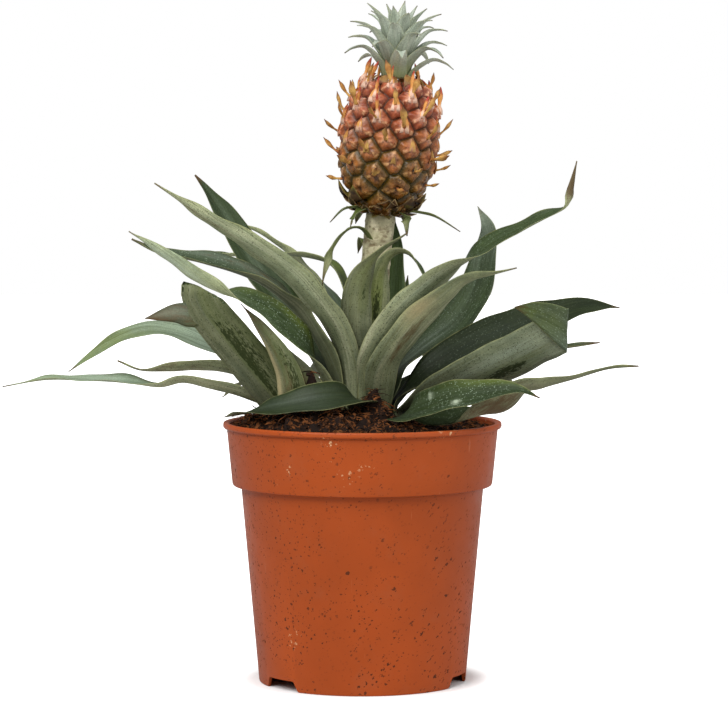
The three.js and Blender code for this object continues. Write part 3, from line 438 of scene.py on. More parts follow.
def shaded(base, share):
    """A darker shade of a colour"""
    return (*[share * part for part in base[:3]], 1.0)


def colour(name, description, default):
    return bpy.props.FloatVectorProperty(name=name, description=description, subtype="COLOR", size=4,
                                         min=0, max=1, default=default)


def length(name, description, default):
    return bpy.props.FloatProperty(name=name, description=description, subtype="DISTANCE", unit="LENGTH",
                                   min=0, default=default)


class PineappleSizes(bpy.types.PropertyGroup):
    leaf_thickness: bpy.props.FloatProperty(
        name="Leaf thickness", description="Thickness of a strap leaf at its middle",
        default=0.9 * MM, min=0.6 * MM, subtype="DISTANCE", unit="LENGTH")
    leaf_wave: length("Leaf wave", "Height of the ripple along a leaf's margins", 0.45 * MM)
    eye_count: bpy.props.IntProperty(
        name="Eyes", description="Number of eyes on the fruit", default=72, min=20, max=160)
    eye_height: length("Eye height", "Rise of an eye over the grooves round it", 2.6 * MM)
    flower_length: length("Flower length", "Length of a dried flower", 10 * MM)
    crown_leaves: bpy.props.IntProperty(
        name="Crown leaves", description="Number of leaves in the crown", default=32, min=8, max=80)
    soil_chips: bpy.props.FloatProperty(
        name="Soil chips", description="Chips of bark and coir on a square metre of soil",
        default=190000, min=0)
    soil_fibres: bpy.props.FloatProperty(
        name="Soil fibres", description="Coir fibres on a square metre of soil", default=110000, min=0)


class PineappleColours(bpy.types.PropertyGroup):
    pot: colour("Pot", "Plastic of the pot", tint(174, 76, 26))
    soil: colour("Soil", "Moist peat", tint(30, 15, 6))
    coir: colour("Coir", "Coir fibre and bark", tint(132, 80, 42))
    leaf_top: colour("Leaf top", "Upper face of a leaf", tint(66, 82, 46))
    leaf_under: colour("Leaf underside", "Lower face of a leaf", tint(154, 158, 118))
    leaf_margin: colour("Leaf margin", "Thin edge of a leaf", tint(150, 152, 104))
    silver: colour("Silver scale", "Pale bloom that lies on the leaves", tint(140, 154, 138))
    algae: colour("Algae", "Green growth in patches on old leaves", tint(32, 42, 6))
    dry: colour("Dry leaf", "Dead brown tissue", tint(90, 68, 44))
    stalk: colour("Stalk", "Skin of the stalk", tint(212, 204, 166))
    eye_ripe: colour("Ripe eye", "Upper eyes of the fruit", tint(196, 102, 56))
    eye_green: colour("Lower eye", "Lower eyes of the fruit", tint(148, 92, 38))
    groove: colour("Groove", "Grooves between the eyes", tint(58, 30, 6))
    flower: colour("Dried flower", "Dried petals", tint(214, 168, 92))
    crown: colour("Crown", "Leaves of the crown", tint(188, 191, 178))


class Nodes:
    """Adds nodes to a tree. An input takes a value or another node's socket."""

    def __init__(self, tree):
        self.tree = tree

    def add(self, kind, inputs=None, out=0, **settings):
        made = self.tree.nodes.new(kind)
        for key, value in settings.items():
            setattr(made, key, value)
        for key, value in (inputs or {}).items():
            if isinstance(value, bpy.types.NodeSocket):
                self.tree.links.new(value, made.inputs[key])
            else:
                made.inputs[key].default_value = value
        return made.outputs[out]

    def math(self, operation, a, b, clamp=False):
        return self.add("ShaderNodeMath", {0: a, 1: b}, operation=operation, use_clamp=clamp)

    def times(self, a, b, clamp=False):
        return self.math("MULTIPLY", a, b, clamp)

    def plus(self, a, b, clamp=False):
        return self.math("ADD", a, b, clamp)

    def most(self, a, b):
        return self.math("MAXIMUM", a, b)

    def near(self, distance, reach):
        """One on a line and nothing beyond its reach"""
        return self.math("SUBTRACT", 1.0, self.math("DIVIDE", distance, reach), clamp=True)

    def scale(self, vector, factors):
        return self.add("ShaderNodeVectorMath", {0: vector, 1: factors}, operation="MULTIPLY")

    def mix(self, factor, a, b, blend="MIX"):
        return self.add("ShaderNodeMix", {0: factor, 6: a, 7: b}, out=2, data_type="RGBA", blend_type=blend)

    def cover(self, face, coat, mask, share):
        """The face under a coat of another colour, where the mask and in the share"""
        return self.mix(self.times(mask, share), face, coat)

    def toned(self, face, tone):
        """The face made darker or lighter by a value"""
        return self.mix(1.0, face, self.add("ShaderNodeCombineXYZ", {0: tone, 1: tone, 2: tone}), "MULTIPLY")

    def span(self, value, low, high, to_low=0.0, to_high=1.0):
        return self.add("ShaderNodeMapRange", {0: value, 1: low, 2: high, 3: to_low, 4: to_high},
                        interpolation_type="SMOOTHSTEP")

    def noise(self, vector, scale, detail=3.0, rough=0.55, seed=None):
        inputs = {"Vector": vector, "Scale": scale, "Detail": detail, "Roughness": rough}
        if seed is None:
            return self.add("ShaderNodeTexNoise", inputs)
        return self.add("ShaderNodeTexNoise", {**inputs, "W": seed}, noise_dimensions="4D")

    def object_place(self):
        return self.add("ShaderNodeTexCoord", out="Object")

    def attribute(self, name):
        return self.add("ShaderNodeAttribute", out="Fac", attribute_name=name)

    def group(self, name, **inputs):
        return self.add("ShaderNodeGroup", inputs, node_tree=shared_group(name))

    def specks(self, place, scale, size, share):
        return self.group("scattered_specks", Place=place, Scale=scale, Size=size, Share=share)

    def patches(self, place, scale, amount, seed=0.0):
        return self.group("broken_patches", Place=place, Scale=scale, Amount=amount, Seed=seed)

    def drawn_size(self, given):
        """A size drawn between a group's smallest and largest"""
        return self.add("FunctionNodeRandomValue", {
            2: given["Smallest"], 3: given["Largest"], "Seed": given["Seed"]}, out=1, data_type="FLOAT")

    def give(self, value, socket):
        self.tree.links.new(value, socket)

    def finish(self, shader, face, rough, relief=None, strength=0.0, depth=0.0):
        """Gives a material's shader its colour, its roughness and its relief"""
        self.give(face, shader["Base Color"])
        self.give(rough, shader["Roughness"])
        if relief is not None:
            bump = {"Height": relief, "Strength": strength, "Distance": depth}
            self.give(self.add("ShaderNodeBump", bump), shader["Normal"])


def new_group(name, inputs, outputs, kind="ShaderNodeTree"):
    """A node group's helper and ends. Inputs are name, socket type and default; outputs are name and type."""
    tree = bpy.data.node_groups.new(name, kind)
    for label, socket, default in inputs:
        made = tree.interface.new_socket(label, in_out="INPUT", socket_type="NodeSocket" + socket)
        if default is not None:
            made.default_value = default
    for label, socket in outputs:
        tree.interface.new_socket(label, in_out="OUTPUT", socket_type="NodeSocket" + socket)
    given, result = tree.nodes.new("NodeGroupInput").outputs, tree.nodes.new("NodeGroupOutput").inputs
    return Nodes(tree), given, result


def streaks_group(name):
    """Streaks along a blade, broad and fine"""
    n, given, result = new_group(name, [
        ("Place", "Vector", None), ("Seed", "Float", 0.0), ("Fineness", "Float", 14.0),
        ("Length", "Float", 0.5)], [("Broad", "Float"), ("Fine", "Float")])
    stretch = n.add("ShaderNodeCombineXYZ", {0: given["Fineness"], 1: given["Length"], 2: 1.0})
    place = n.scale(given["Place"], stretch)
    broad = n.noise(place, 0.35, 2.0, 0.5, given["Seed"])
    fine = n.noise(place, 1.6, 3.0, 0.6, given["Seed"])
    n.give(n.span(broad, 0.35, 0.68), result["Broad"])
    n.give(n.span(fine, 0.32, 0.7), result["Fine"])
    return n.tree


def specks_group(name):
    """Round specks of uneven size in a share of the cells"""
    n, given, result = new_group(name, [
        ("Place", "Vector", None), ("Scale", "Float", 20.0), ("Size", "Float", 0.2), ("Share", "Float", 0.3)],
        [("Specks", "Float")])
    cells = n.add("ShaderNodeTexVoronoi", {"Vector": given["Place"], "Scale": given["Scale"]})
    draw = n.add("ShaderNodeSeparateColor", {0: cells.node.outputs["Color"]})
    near = n.math("LESS_THAN", cells, n.times(given["Size"], draw.node.outputs["Green"]))
    n.give(n.times(near, n.math("LESS_THAN", draw, given["Share"])), result["Specks"])
    return n.tree


def patches_group(name):
    """Ragged patches that cover more as the amount grows"""
    n, given, result = new_group(name, [
        ("Place", "Vector", None), ("Scale", "Float", 4.0), ("Amount", "Float", 0.5), ("Seed", "Float", 0.0)],
        [("Patches", "Float")])
    broad = n.noise(given["Place"], given["Scale"], 5.0, 0.72, given["Seed"])
    level = n.plus(broad, n.times(n.math("SUBTRACT", given["Amount"], 0.5), 0.75))
    n.give(n.span(level, 0.46, 0.6), result["Patches"])
    return n.tree


def shared_group(name):
    """The group of that name, which is built once"""
    return bpy.data.node_groups.get(name) or SHARED_GROUPS[name](name)


def new_material(name, **constants):
    """A Principled material with its constant values set; gives its node helper and its shader's inputs"""
    made = bpy.data.materials.new(name)
    made.use_nodes = True
    shader = made.node_tree.nodes["Principled BSDF"]
    for key, value in constants.items():
        shader.inputs[key.replace("_", " ")].default_value = value
    return made, Nodes(made.node_tree), shader.inputs


# What differs between the two faces of a leaf: the colours, and the shares in which they show
UPPER_FACE = {
    "specular": 0.13, "dark": (0.45, 0.5, 0.5), "fine": 0.1, "glow": 0.34, "glow_tint": tint(104, 122, 92),
    "tone": "upper_tone", "yellow": tint(118, 132, 48), "dots": 0.6, "least_dots": 0.0,
    "dot_tint": tint(158, 176, 150), "blots": 0.24, "pale": tint(172, 184, 160), "rough": (0.34, 0.5)}
LOWER_FACE = {
    "specular": 0.18, "dark": (0.36, 0.4, 0.34), "fine": 0.2, "glow": 0.6, "glow_tint": tint(182, 182, 150),
    "tone": "tone", "yellow": tint(132, 144, 66), "dots": 0.66, "least_dots": 0.3,
    "dot_tint": tint(42, 40, 22), "blots": 0.5, "pale": tint(176, 160, 118), "rough": (0.5, 0.66)}


def leaf_material(name, base, look):
    """A strap leaf's face: lengthwise streaks, silver bloom, painted shade towards its foot, patches of
    algae, dry marks, a pale margin
    """
    colours = bpy.context.scene.pineapple_colours
    made, n, shader = new_material(name, Specular_IOR_Level=look["specular"])
    place = n.add("ShaderNodeUVMap", uv_map="blade")
    seed = n.times(n.attribute("seed"), 40.0)
    streaks = n.group("lengthwise_streaks", Place=place, Seed=seed, Fineness=7.0, Length=0.22)
    fine = streaks.node.outputs["Fine"]
    cloud = n.noise(place, 1.1, 4.0, 0.6, seed)
    dust = n.noise(place, 16.0, 3.0, 0.7, seed)
    dark = (*[part * c for part, c in zip(look["dark"], base)], 1.0)

    # The blade's own colour: light and dark streaks, a broad glow, and a bloom of scales; then fine dust, and
    # painted shade that darkens it towards its foot
    face = n.mix(n.plus(n.times(streaks, 0.55), n.times(n.span(cloud, 0.3, 0.7), 0.45)), dark, base)
    face = n.cover(face, colours.silver, fine, look["fine"])
    glow = n.noise(n.scale(place, (3.2, 0.16, 1.0)), 1.0, 3.0, 0.6, n.plus(seed, 5.0))
    face = n.cover(face, look["glow_tint"], n.span(glow, 0.52, 0.72), look["glow"])
    bloom = n.times(n.attribute("silver"), n.span(streaks, 0.0, 1.0, 0.35, 1.0), clamp=True)
    face = n.cover(face, colours.silver, bloom, 0.6)
    # Fine dust and painted shade: the blade is darker towards its foot, in the rosette's middle where shade
    # falls
    grain = n.times(n.span(dust, 0.3, 0.7, 0.8, 1.16), n.span(n.attribute("share"), 0.1, 0.62, 0.62, 1.06))
    face = n.toned(face, n.times(n.attribute(look["tone"]), grain))
    yellow = n.times(n.attribute("yellow"), n.span(cloud, 0.3, 0.6, 0.4, 1.0), clamp=True)
    face = n.cover(face, look["yellow"], yellow, 0.75)
    hairs = n.noise(n.scale(place, (46.0, 0.5, 1.0)), 1.0, 2.0, 0.6, seed)
    face = n.mix(n.span(hairs, 0.48, 0.7, 0.0, 0.6), face, n.mix(0.5, dark, tint(60, 60, 36)))

    # Specks of two sizes
    dots = n.specks(n.scale(place, (1.0, 0.55, 1.0)), 20.0, 0.44, 0.6)
    dots = n.most(dots, n.specks(place, 6.0, 0.16, 0.25))
    dots = n.times(dots, n.plus(n.attribute("dots"), look["least_dots"]), clamp=True)
    face = n.cover(face, look["dot_tint"], dots, look["dots"])

    # Algae in short dashes on a faint green ground
    dashes = n.scale(place, (1.0, 0.42, 1.0))
    growth = n.attribute("algae")
    algae = n.patches(n.scale(dashes, (1.0, 0.6, 1.0)), 19.0, n.span(growth, 0.0, 2.6, 0.06, 0.7), seed)
    algae = n.times(algae, n.span(growth, 0.02, 0.3))
    face = n.cover(face, tint(92, 104, 40), n.span(growth, 0.1, 1.0), 0.26)
    face = n.cover(face, colours.algae, algae, 0.9)

    # Dead tissue, blots, pale crusts and the margin
    withered = n.attribute("dry")
    stain = n.noise(n.scale(place, (1.0, 0.22, 1.0)), 7.0, 5.0, 0.7, n.plus(seed, 7.0))
    stain = n.span(n.plus(stain, n.times(withered, 0.5)), 0.56, 0.98)
    face = n.cover(face, colours.dry, n.times(stain, n.span(withered, 0.02, 0.3)), 0.88)
    face = n.cover(face, tint(112, 92, 56), n.patches(dashes, 2.4, 0.26, n.plus(seed, 3.0)), look["blots"])
    pale = n.times(n.attribute("pale"), n.span(dust, 0.3, 0.6, 0.6, 1.0), clamp=True)
    face = n.cover(face, look["pale"], pale, 0.9)
    edge = n.times(n.span(n.attribute("margin"), 0.4, 0.08), n.span(cloud, 0.35, 0.6, 0.1, 0.65))
    face = n.cover(face, colours.leaf_margin, edge, n.span(withered, 0.6, 0.2))

    rough = n.plus(n.span(dust, 0.3, 0.7, *look["rough"]), n.times(algae, 0.2), clamp=True)
    ridges = n.plus(n.times(fine, 0.6), n.times(algae, 0.4))
    n.finish(shader, face, rough, n.plus(ridges, n.times(dust, 0.3)), 0.4, 0.3 * MM)
    return made


def spline(points, t):
    """Values and slopes of a uniform Catmull-Rom spline at t from 0 to 1, with reflected ends"""
    p = np.asarray(points, float)
    p = np.vstack([2 * p[0] - p[1], p, 2 * p[-1] - p[-2]])
    at = np.clip(t, 0, 1) * (len(points) - 1)
    i = np.minimum(at.astype(int), len(points) - 2)
    w = (at - i)[:, None]
    a, b, c, d = p[i], p[i + 1], p[i + 2], p[i + 3]
    m, k = (c - a) / 2, (d - b) / 2
    value = (2 * w**3 - 3 * w**2 + 1) * b + (w**3 - 2 * w**2 + w) * m
    value = value + (3 * w**2 - 2 * w**3) * c + (w**3 - w**2) * k
    slope = (6 * w**2 - 6 * w) * (b - c) + (3 * w**2 - 4 * w + 1) * m + (3 * w**2 - 2 * w) * k
    return value, slope


def even_course(points, steps):
    """Shares of the length, places, directions and fourth values at even steps, and the length"""
    t = np.linspace(0, 1, SPLINE_SAMPLES)
    places = spline(points, t)[0][:, :3]
    run = np.concatenate([[0], np.cumsum(np.linalg.norm(np.diff(places, axis=0), axis=1))])
    steps = steps or max(LEAST_STEPS, round(run[-1] / STEP_LENGTH))
    share = np.linspace(0, 1, steps + 1)
    values, slopes = spline(points, np.interp(share * run[-1], run, t))
    along = slopes[:, :3] / np.linalg.norm(slopes[:, :3], axis=1)[:, None]
    extra = values[:, 3] if values.shape[1] > 3 else np.zeros(steps + 1)
    return share, values[:, :3], along, extra, run[-1]


def smoothstep(value, low, high):
    x = np.clip((value - low) / (high - low), 0, 1)
    return x * x * (3 - 2 * x)


def lerp(a, b, share):
    return a + (b - a) * share


class Sheaf:
    """Collects blades and other parts into one mesh with their faces' materials, UVs and attributes"""

    def __init__(self):
        self.points, self.faces, self.slots, self.uvs = [], [], [], []
        self.values = {}

    def add(self, points, faces, slots, uv, values):
        start = sum(len(block) for block in self.points)
        for key in set(self.values) | set(values):
            column = self.values.setdefault(key, [np.zeros(start)] if start else [])
            column.append(np.broadcast_to(values.get(key, 0.0), (len(points),)))
        self.points.append(points)
        self.faces.append(faces + start)
        self.slots.append(slots)
        self.uvs.append(uv)

    def mesh(self, name, materials, place=None):
        points = np.vstack(self.points) * MM
        faces = np.vstack(self.faces)
        made = bpy.data.meshes.new(name)
        made.vertices.add(len(points))
        made.loops.add(faces.size)
        made.polygons.add(len(faces))
        made.vertices.foreach_set("co", points.ravel())
        made.loops.foreach_set("vertex_index", faces.ravel())
        made.polygons.foreach_set("loop_start", np.arange(len(faces)) * 4)
        made.polygons.foreach_set("material_index", np.concatenate(self.slots))
        made.polygons.foreach_set("use_smooth", np.ones(len(faces), bool))
        made.update(calc_edges=True)
        uv = np.vstack(self.uvs)
        layer = made.uv_layers.new(name="blade")
        layer.data.foreach_set("uv", uv[faces.ravel()].ravel())
        for key, columns in self.values.items():
            store = made.attributes.new(key, "FLOAT", "POINT")
            store.data.foreach_set("value", np.concatenate(columns).astype(np.float32))
        for material in materials:
            made.materials.append(material)
        if place is not None:
            made.transform(place)
        if made.validate():
            raise RuntimeError(name + " has bad faces")
        return made


def folded(rows, middle, along, side, upper, fold):
    """The blade rolled over a line, so that its end lies on its own face"""
    x, z, rise, forward = fold
    at = np.argmin(np.hypot(middle[:, 0] - x, middle[:, 2] - z))
    rise = math.radians(rise)
    plane = np.stack([along[at], side[at]], axis=1)[[0, 2]]
    share = np.linalg.solve(plane, [math.cos(rise), math.sin(rise)])
    line = share[0] * along[at] + share[1] * side[at]
    ahead = np.cross(line, upper[at])
    ahead = ahead / np.linalg.norm(ahead) * np.sign(ahead @ along[at])
    over = upper[at] * (np.sign(-upper[at][1]) if forward else np.sign(upper[at][1]))
    local = rows - middle[at]
    beyond, lift = local @ ahead, local @ over
    flat = lift * (1 - FOLD_FLATNESS * smoothstep(beyond, -FOLD_LEAD, 0))
    angle = np.clip(beyond / FOLD_RADIUS, 0, math.pi)
    past = (FOLD_RADIUS - flat) * np.sin(angle) - np.maximum(beyond - math.pi * FOLD_RADIUS, 0)
    up = FOLD_RADIUS - (FOLD_RADIUS - flat) * np.cos(angle)
    past = np.where(beyond > 0, past, beyond)
    return rows + (past - beyond)[..., None] * ahead + (up - lift)[..., None] * over


def add_blade(sheaf, points, width, base_width, inward, depth=0.0, channel=CHANNEL, full=FULLNESS,
              thickness=0.9, wave=0.0, seed=0.0, tip=0.35, columns=11, steps=None, marks=(), tone=1.0,
              upper_tone=None, fold=None):
    """A strap blade along a spine: a closed skin whose margins are thin and ripple a little"""
    share, middle, along, turn, length = even_course(points, steps)
    turn = np.radians(turn)[:, None]
    upper = np.cos(turn) * (np.array([0, 0, 1.0]) + INWARD_LEAN * inward)
    upper = upper - np.sin(turn) * np.array([0, 1.0, 0])
    upper = upper - np.sum(upper * along, axis=1)[:, None] * along
    upper = upper / np.linalg.norm(upper, axis=1)[:, None]
    side = np.cross(along, upper)
    swell = smoothstep(share, SWELL_START, TAPER_START)
    fall = np.maximum(0, (share - TAPER_START) / (1 - TAPER_START))
    across = np.maximum(tip, lerp(base_width, width, swell) * (1 - fall**full))[:, None]
    s = np.linspace(-1, 1, columns)[None, :]
    rise = across * lerp(depth, channel, swell)[:, None] * np.abs(s)**CHANNEL_CURVE
    run = TURN * share * length
    margins = [np.sin(run / a + p * seed) + 0.6 * np.sin(run / b + q * seed) for a, p, b, q in MARGIN_WAVES]
    calm = smoothstep(share, *RIPPLE_START) * (1 - 0.5 * smoothstep(share, *RIPPLE_END))
    edges = np.where(s > 0, *[(ripple * calm)[:, None] for ripple in margins])
    rise = rise + wave * edges * np.abs(s)**RIPPLE_CURVE
    thick = thickness * (1 - EDGE_THINNING * np.abs(s)**3) * lerp(1.0, TIP_THICKNESS, share)[:, None]
    flat = middle[:, None, :] + side[:, None, :] * (s * across / 2)[..., None]
    top = flat + upper[:, None, :] * rise[..., None]
    under = flat + upper[:, None, :] * (rise - thick)[..., None]
    rows = np.concatenate([top, under[:, ::-1]], axis=1)
    if fold:
        rows = folded(rows, middle, along, side, upper, fold)
    count, ring = rows.shape[:2]
    index = np.arange(count * ring).reshape(count, ring)
    ahead = np.roll(index, -1, axis=1)
    faces = np.stack([index[:-1], ahead[:-1], ahead[1:], index[1:]], axis=-1).reshape(-1, 4)
    slots = np.tile(np.where(np.arange(ring) < columns - 1, 0, 1), count - 1)
    caps = []
    for row, flip in ((0, True), (count - 1, False)):
        for j in range(columns - 1):
            corner = [index[row, j], index[row, j + 1], index[row, ring - 2 - j], index[row, ring - 1 - j]]
            caps.append(corner[::-1] if flip else corner)
    faces = np.vstack([faces, np.array(caps)])
    slots = np.concatenate([slots, np.ones(len(caps), int)])
    s_ring = np.concatenate([s[0], s[0, ::-1]])
    u_all = np.repeat(share[:, None], ring, 1)
    s_all = np.repeat(s_ring[None, :], count, 0)
    uv = np.stack([s_all * across / TEXTURE_ACROSS, u_all * length / TEXTURE_ALONG], axis=-1)
    values = {"seed": seed, "tone": tone, "upper_tone": upper_tone or tone, "share": u_all.ravel(),
              "margin": ((1 - np.abs(s_all)) * across / 2).ravel()}
    values.update({kind: np.zeros(count * ring) for kind in MARK_KINDS})
    for kind, at, spread, strength, *across_it in marks:
        place, reach = across_it or WHOLE_WIDTH
        patch = np.exp(-((u_all - at) / spread) ** 2 - ((s_all - place) / reach) ** 2)
        values[kind] = values[kind] + strength * patch.ravel()
    sheaf.add(rows.reshape(-1, 3), faces, slots, uv.reshape(-1, 2), values)


def piece(name, mesh, slot, *nodes):
    """Puts a finished mesh in the scene, riding on the plant and standing for the named solids"""
    made = bpy.data.objects.new(name, mesh)
    bpy.context.scene.collection.objects.link(made)
    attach(made, "root")
    if nodes:
        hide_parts(*nodes)
    return made


def inward_of(points, turn=None):
    """The level direction back from a spine's foot, by its course or by its turn round the stem"""
    if turn is None:
        turn = math.atan2(points[-1][1] - points[0][1], points[-1][0] - points[0][0])
    return np.array([-math.cos(turn), -math.sin(turn), 0])


def leaf_spine(leaf):
    """The whole spine of a leaf, the way its face looks at its foot, and its base's width and depth"""
    points = leaf["spine"]
    if "ring" not in leaf:
        return points, inward_of(points), SOIL_BLADE_FOOT * leaf["width"], CHANNEL
    first = points[0]
    radius, width, neck = RINGS[leaf["ring"]]
    inward = inward_of(points, math.radians(leaf["turn"]))
    x, y = STEM_X - radius * inward[0], -radius * inward[1]
    bend = [lerp(x, first[0], BEND_OUT), lerp(y, first[1], BEND_OUT), lerp(neck, first[2], BEND_UP), 0]
    foot = [[x, y, LEAF_FOOT, 0], [x, y, neck - NECK_LENGTH, 0], [x, y, neck, 0], bend]
    return foot + points, inward, width, (radius - math.sqrt(radius**2 - (width / 2) ** 2)) / width


class PINEAPPLE_OT_leaves(bpy.types.Operator):
    """Makes the strap leaves, one piece for each"""

    bl_idname = "pineapple.leaves"
    bl_label = "Leaves"

    def execute(self, context):
        sizes = context.scene.pineapple_sizes
        colours = context.scene.pineapple_colours
        faces = [leaf_material("leaf_top", tuple(colours.leaf_top), UPPER_FACE),
                 leaf_material("leaf_underside", tuple(colours.leaf_under), LOWER_FACE)]
        for number, (name, leaf) in enumerate(LEAVES.items()):
            points, inward, base_width, depth = leaf_spine(leaf)
            seed = number * GOLDEN_SHARE % 1
            tone = leaf.get("tone", 1.0)
            looks = {"marks": [*TIP_MARKS, *leaf.get("marks", ())], "tone": tone, "seed": seed,
                     "upper_tone": leaf.get("upper", min(tone, UPPER_TONE)),
                     "thickness": sizes.leaf_thickness / MM}
            sheaf = Sheaf()
            add_blade(sheaf, points, leaf["width"], base_width, inward, depth,
                      channel=leaf.get("channel", CHANNEL), full=leaf.get("full", FULLNESS),
                      wave=sizes.leaf_wave / MM, fold=leaf.get("fold"), **looks)
            piece(name + "_blade", sheaf.mesh(name + "_blade", faces), "leaf", name)
        return {"FINISHED"}


def lathe(profile, segments):
    """A closed surface turned round +Z from radius and height pairs that start and end on the axis"""
    made = bmesh.new()
    rings = []
    for radius, height in profile:
        if radius == 0:
            rings.append([made.verts.new((0, 0, height * MM))])
            continue
        angles = [TURN * j / segments for j in range(segments)]
        rings.append([made.verts.new((radius * MM * math.cos(a), radius * MM * math.sin(a), height * MM))
                      for a in angles])
    for low, high in zip(rings, rings[1:]):
        for j in range(segments):
            k = (j + 1) % segments
            corners = [low[j % len(low)], low[k % len(low)], high[k % len(high)], high[j % len(high)]]
            made.faces.new(list(dict.fromkeys(corners)))
    bmesh.ops.recalc_face_normals(made, faces=made.faces)
    return made


def closed_skin(rings):
    """A closed surface through rings of points in metres, with a cap at either end"""
    made = bmesh.new()
    rows = [[made.verts.new(point) for point in ring] for ring in rings]
    for low, high in zip(rows, rows[1:]):
        for j in range(len(low)):
            made.faces.new((low[j - 1], low[j], high[j], high[j - 1]))
    made.faces.new(rows[0])
    made.faces.new(rows[-1][::-1])
    bmesh.ops.recalc_face_normals(made, faces=made.faces)
    return made


def mesh_of(made, name, sharp_angle=None):
    mesh = bpy.data.meshes.new(name)
    made.to_mesh(mesh)
    made.free()
    mesh.polygons.foreach_set("use_smooth", np.ones(len(mesh.polygons), bool))
    if sharp_angle:
        mesh.set_sharp_from_angle(angle=math.radians(sharp_angle))
    return mesh


def evaluated_mesh(made, name):
    """The mesh that an object's modifiers give; the object itself is removed"""
    depsgraph = bpy.context.evaluated_depsgraph_get()
    mesh = bpy.data.meshes.new_from_object(made.evaluated_get(depsgraph), preserve_all_data_layers=True,
                                           depsgraph=depsgraph)
    mesh.name = name
    made.modifiers.clear()
    bpy.data.objects.remove(made)
    return mesh


def grown_mesh(name, points, group, values):
    """The mesh that a shared group grows on a helper mesh, with the group's inputs given by name"""
    helper = bpy.data.objects.new(name + "_points", points)
    bpy.context.scene.collection.objects.link(helper)
    modifier = helper.modifiers.new("growth", "NODES")
    modifier.node_group = shared_group(group)
    for item in modifier.node_group.interface.items_tree:
        if item.item_type == "SOCKET" and item.in_out == "INPUT" and item.name in values:
            modifier[item.identifier] = values[item.name]
    mesh = evaluated_mesh(helper, name)
    mesh.materials.clear()
    mesh.materials.append(values["Finish"])
    mesh.polygons.foreach_set("material_index", np.zeros(len(mesh.polygons), int))
    return mesh


def end_in_mesh(n, given, result, instances):
    """Ends a growth group: real copies with their finish"""
    real = n.add("GeometryNodeRealizeInstances", {"Geometry": instances})
    n.give(n.add("GeometryNodeSetMaterial", {"Geometry": real, "Material": given["Finish"]}), result[0])
    return n.tree


def copies_group(name):
    """Stands copies of a shape on points whose attributes give its +Z, its +Y and its size"""
    n, given, result = new_group(name, [
        ("Points", "Geometry", None), ("Shape", "Object", None), ("Smallest", "Float", 0.8),
        ("Largest", "Float", 1.2), ("Seed", "Int", 1), ("Finish", "Material", None)],
        [("Copies", "Geometry")], "GeometryNodeTree")
    out, up = [n.add("GeometryNodeInputNamedAttribute", {"Name": key}, data_type="FLOAT_VECTOR")
               for key in ("out", "up")]
    size = n.add("GeometryNodeInputNamedAttribute", {"Name": "size"}, data_type="FLOAT")
    facing = n.add("FunctionNodeAlignRotationToVector", {"Vector": out}, axis="Z")
    facing = n.add("FunctionNodeAlignRotationToVector", {"Rotation": facing, "Vector": up}, axis="Y",
                   pivot_axis="Z")
    shape = n.add("GeometryNodeObjectInfo", {"Object": given["Shape"]}, out="Geometry")
    return end_in_mesh(n, given, result, n.add("GeometryNodeInstanceOnPoints", {
        "Points": given["Points"], "Instance": shape, "Rotation": facing,
        "Scale": n.times(size, n.drawn_size(given))}))


def strewn_group(name):
    """Strews shapes from a collection over a surface, turned at random and tilted a little"""
    n, given, result = new_group(name, [
        ("Surface", "Geometry", None), ("Shapes", "Collection", None), ("Density", "Float", 1000.0),
        ("Smallest", "Float", 0.6), ("Largest", "Float", 1.4), ("Tilt", "Float", 0.5), ("Seed", "Int", 1),
        ("Finish", "Material", None)], [("Litter", "Geometry")], "GeometryNodeTree")
    spots = n.add("GeometryNodeDistributePointsOnFaces", {
        "Mesh": given["Surface"], "Density": given["Density"], "Seed": given["Seed"]}, out="Points")
    most = n.add("ShaderNodeCombineXYZ", {0: given["Tilt"], 1: given["Tilt"], 2: math.pi})
    turn_range = {0: n.scale(most, (-1.0, -1.0, -1.0)), 1: most, "Seed": given["Seed"]}
    turn = n.add("FunctionNodeRandomValue", turn_range, data_type="FLOAT_VECTOR")
    shapes = n.add("GeometryNodeCollectionInfo", {
        "Collection": given["Shapes"], "Separate Children": True, "Reset Children": True})
    return end_in_mesh(n, given, result, n.add("GeometryNodeInstanceOnPoints", {
        "Points": spots, "Instance": shapes, "Pick Instance": True, "Rotation": turn,
        "Scale": n.drawn_size(given)}))


SHARED_GROUPS = {
    "lengthwise_streaks": streaks_group, "scattered_specks": specks_group, "broken_patches": patches_group,
    "copies_on_points": copies_group, "strewn_on_surface": strewn_group}


def store(mesh, name, values, kind="FLOAT"):
    made = mesh.attributes.new(name, kind, "POINT")
    made.data.foreach_set("vector" if kind == "FLOAT_VECTOR" else "value",
                          np.ascontiguousarray(values, dtype=np.float32).ravel())


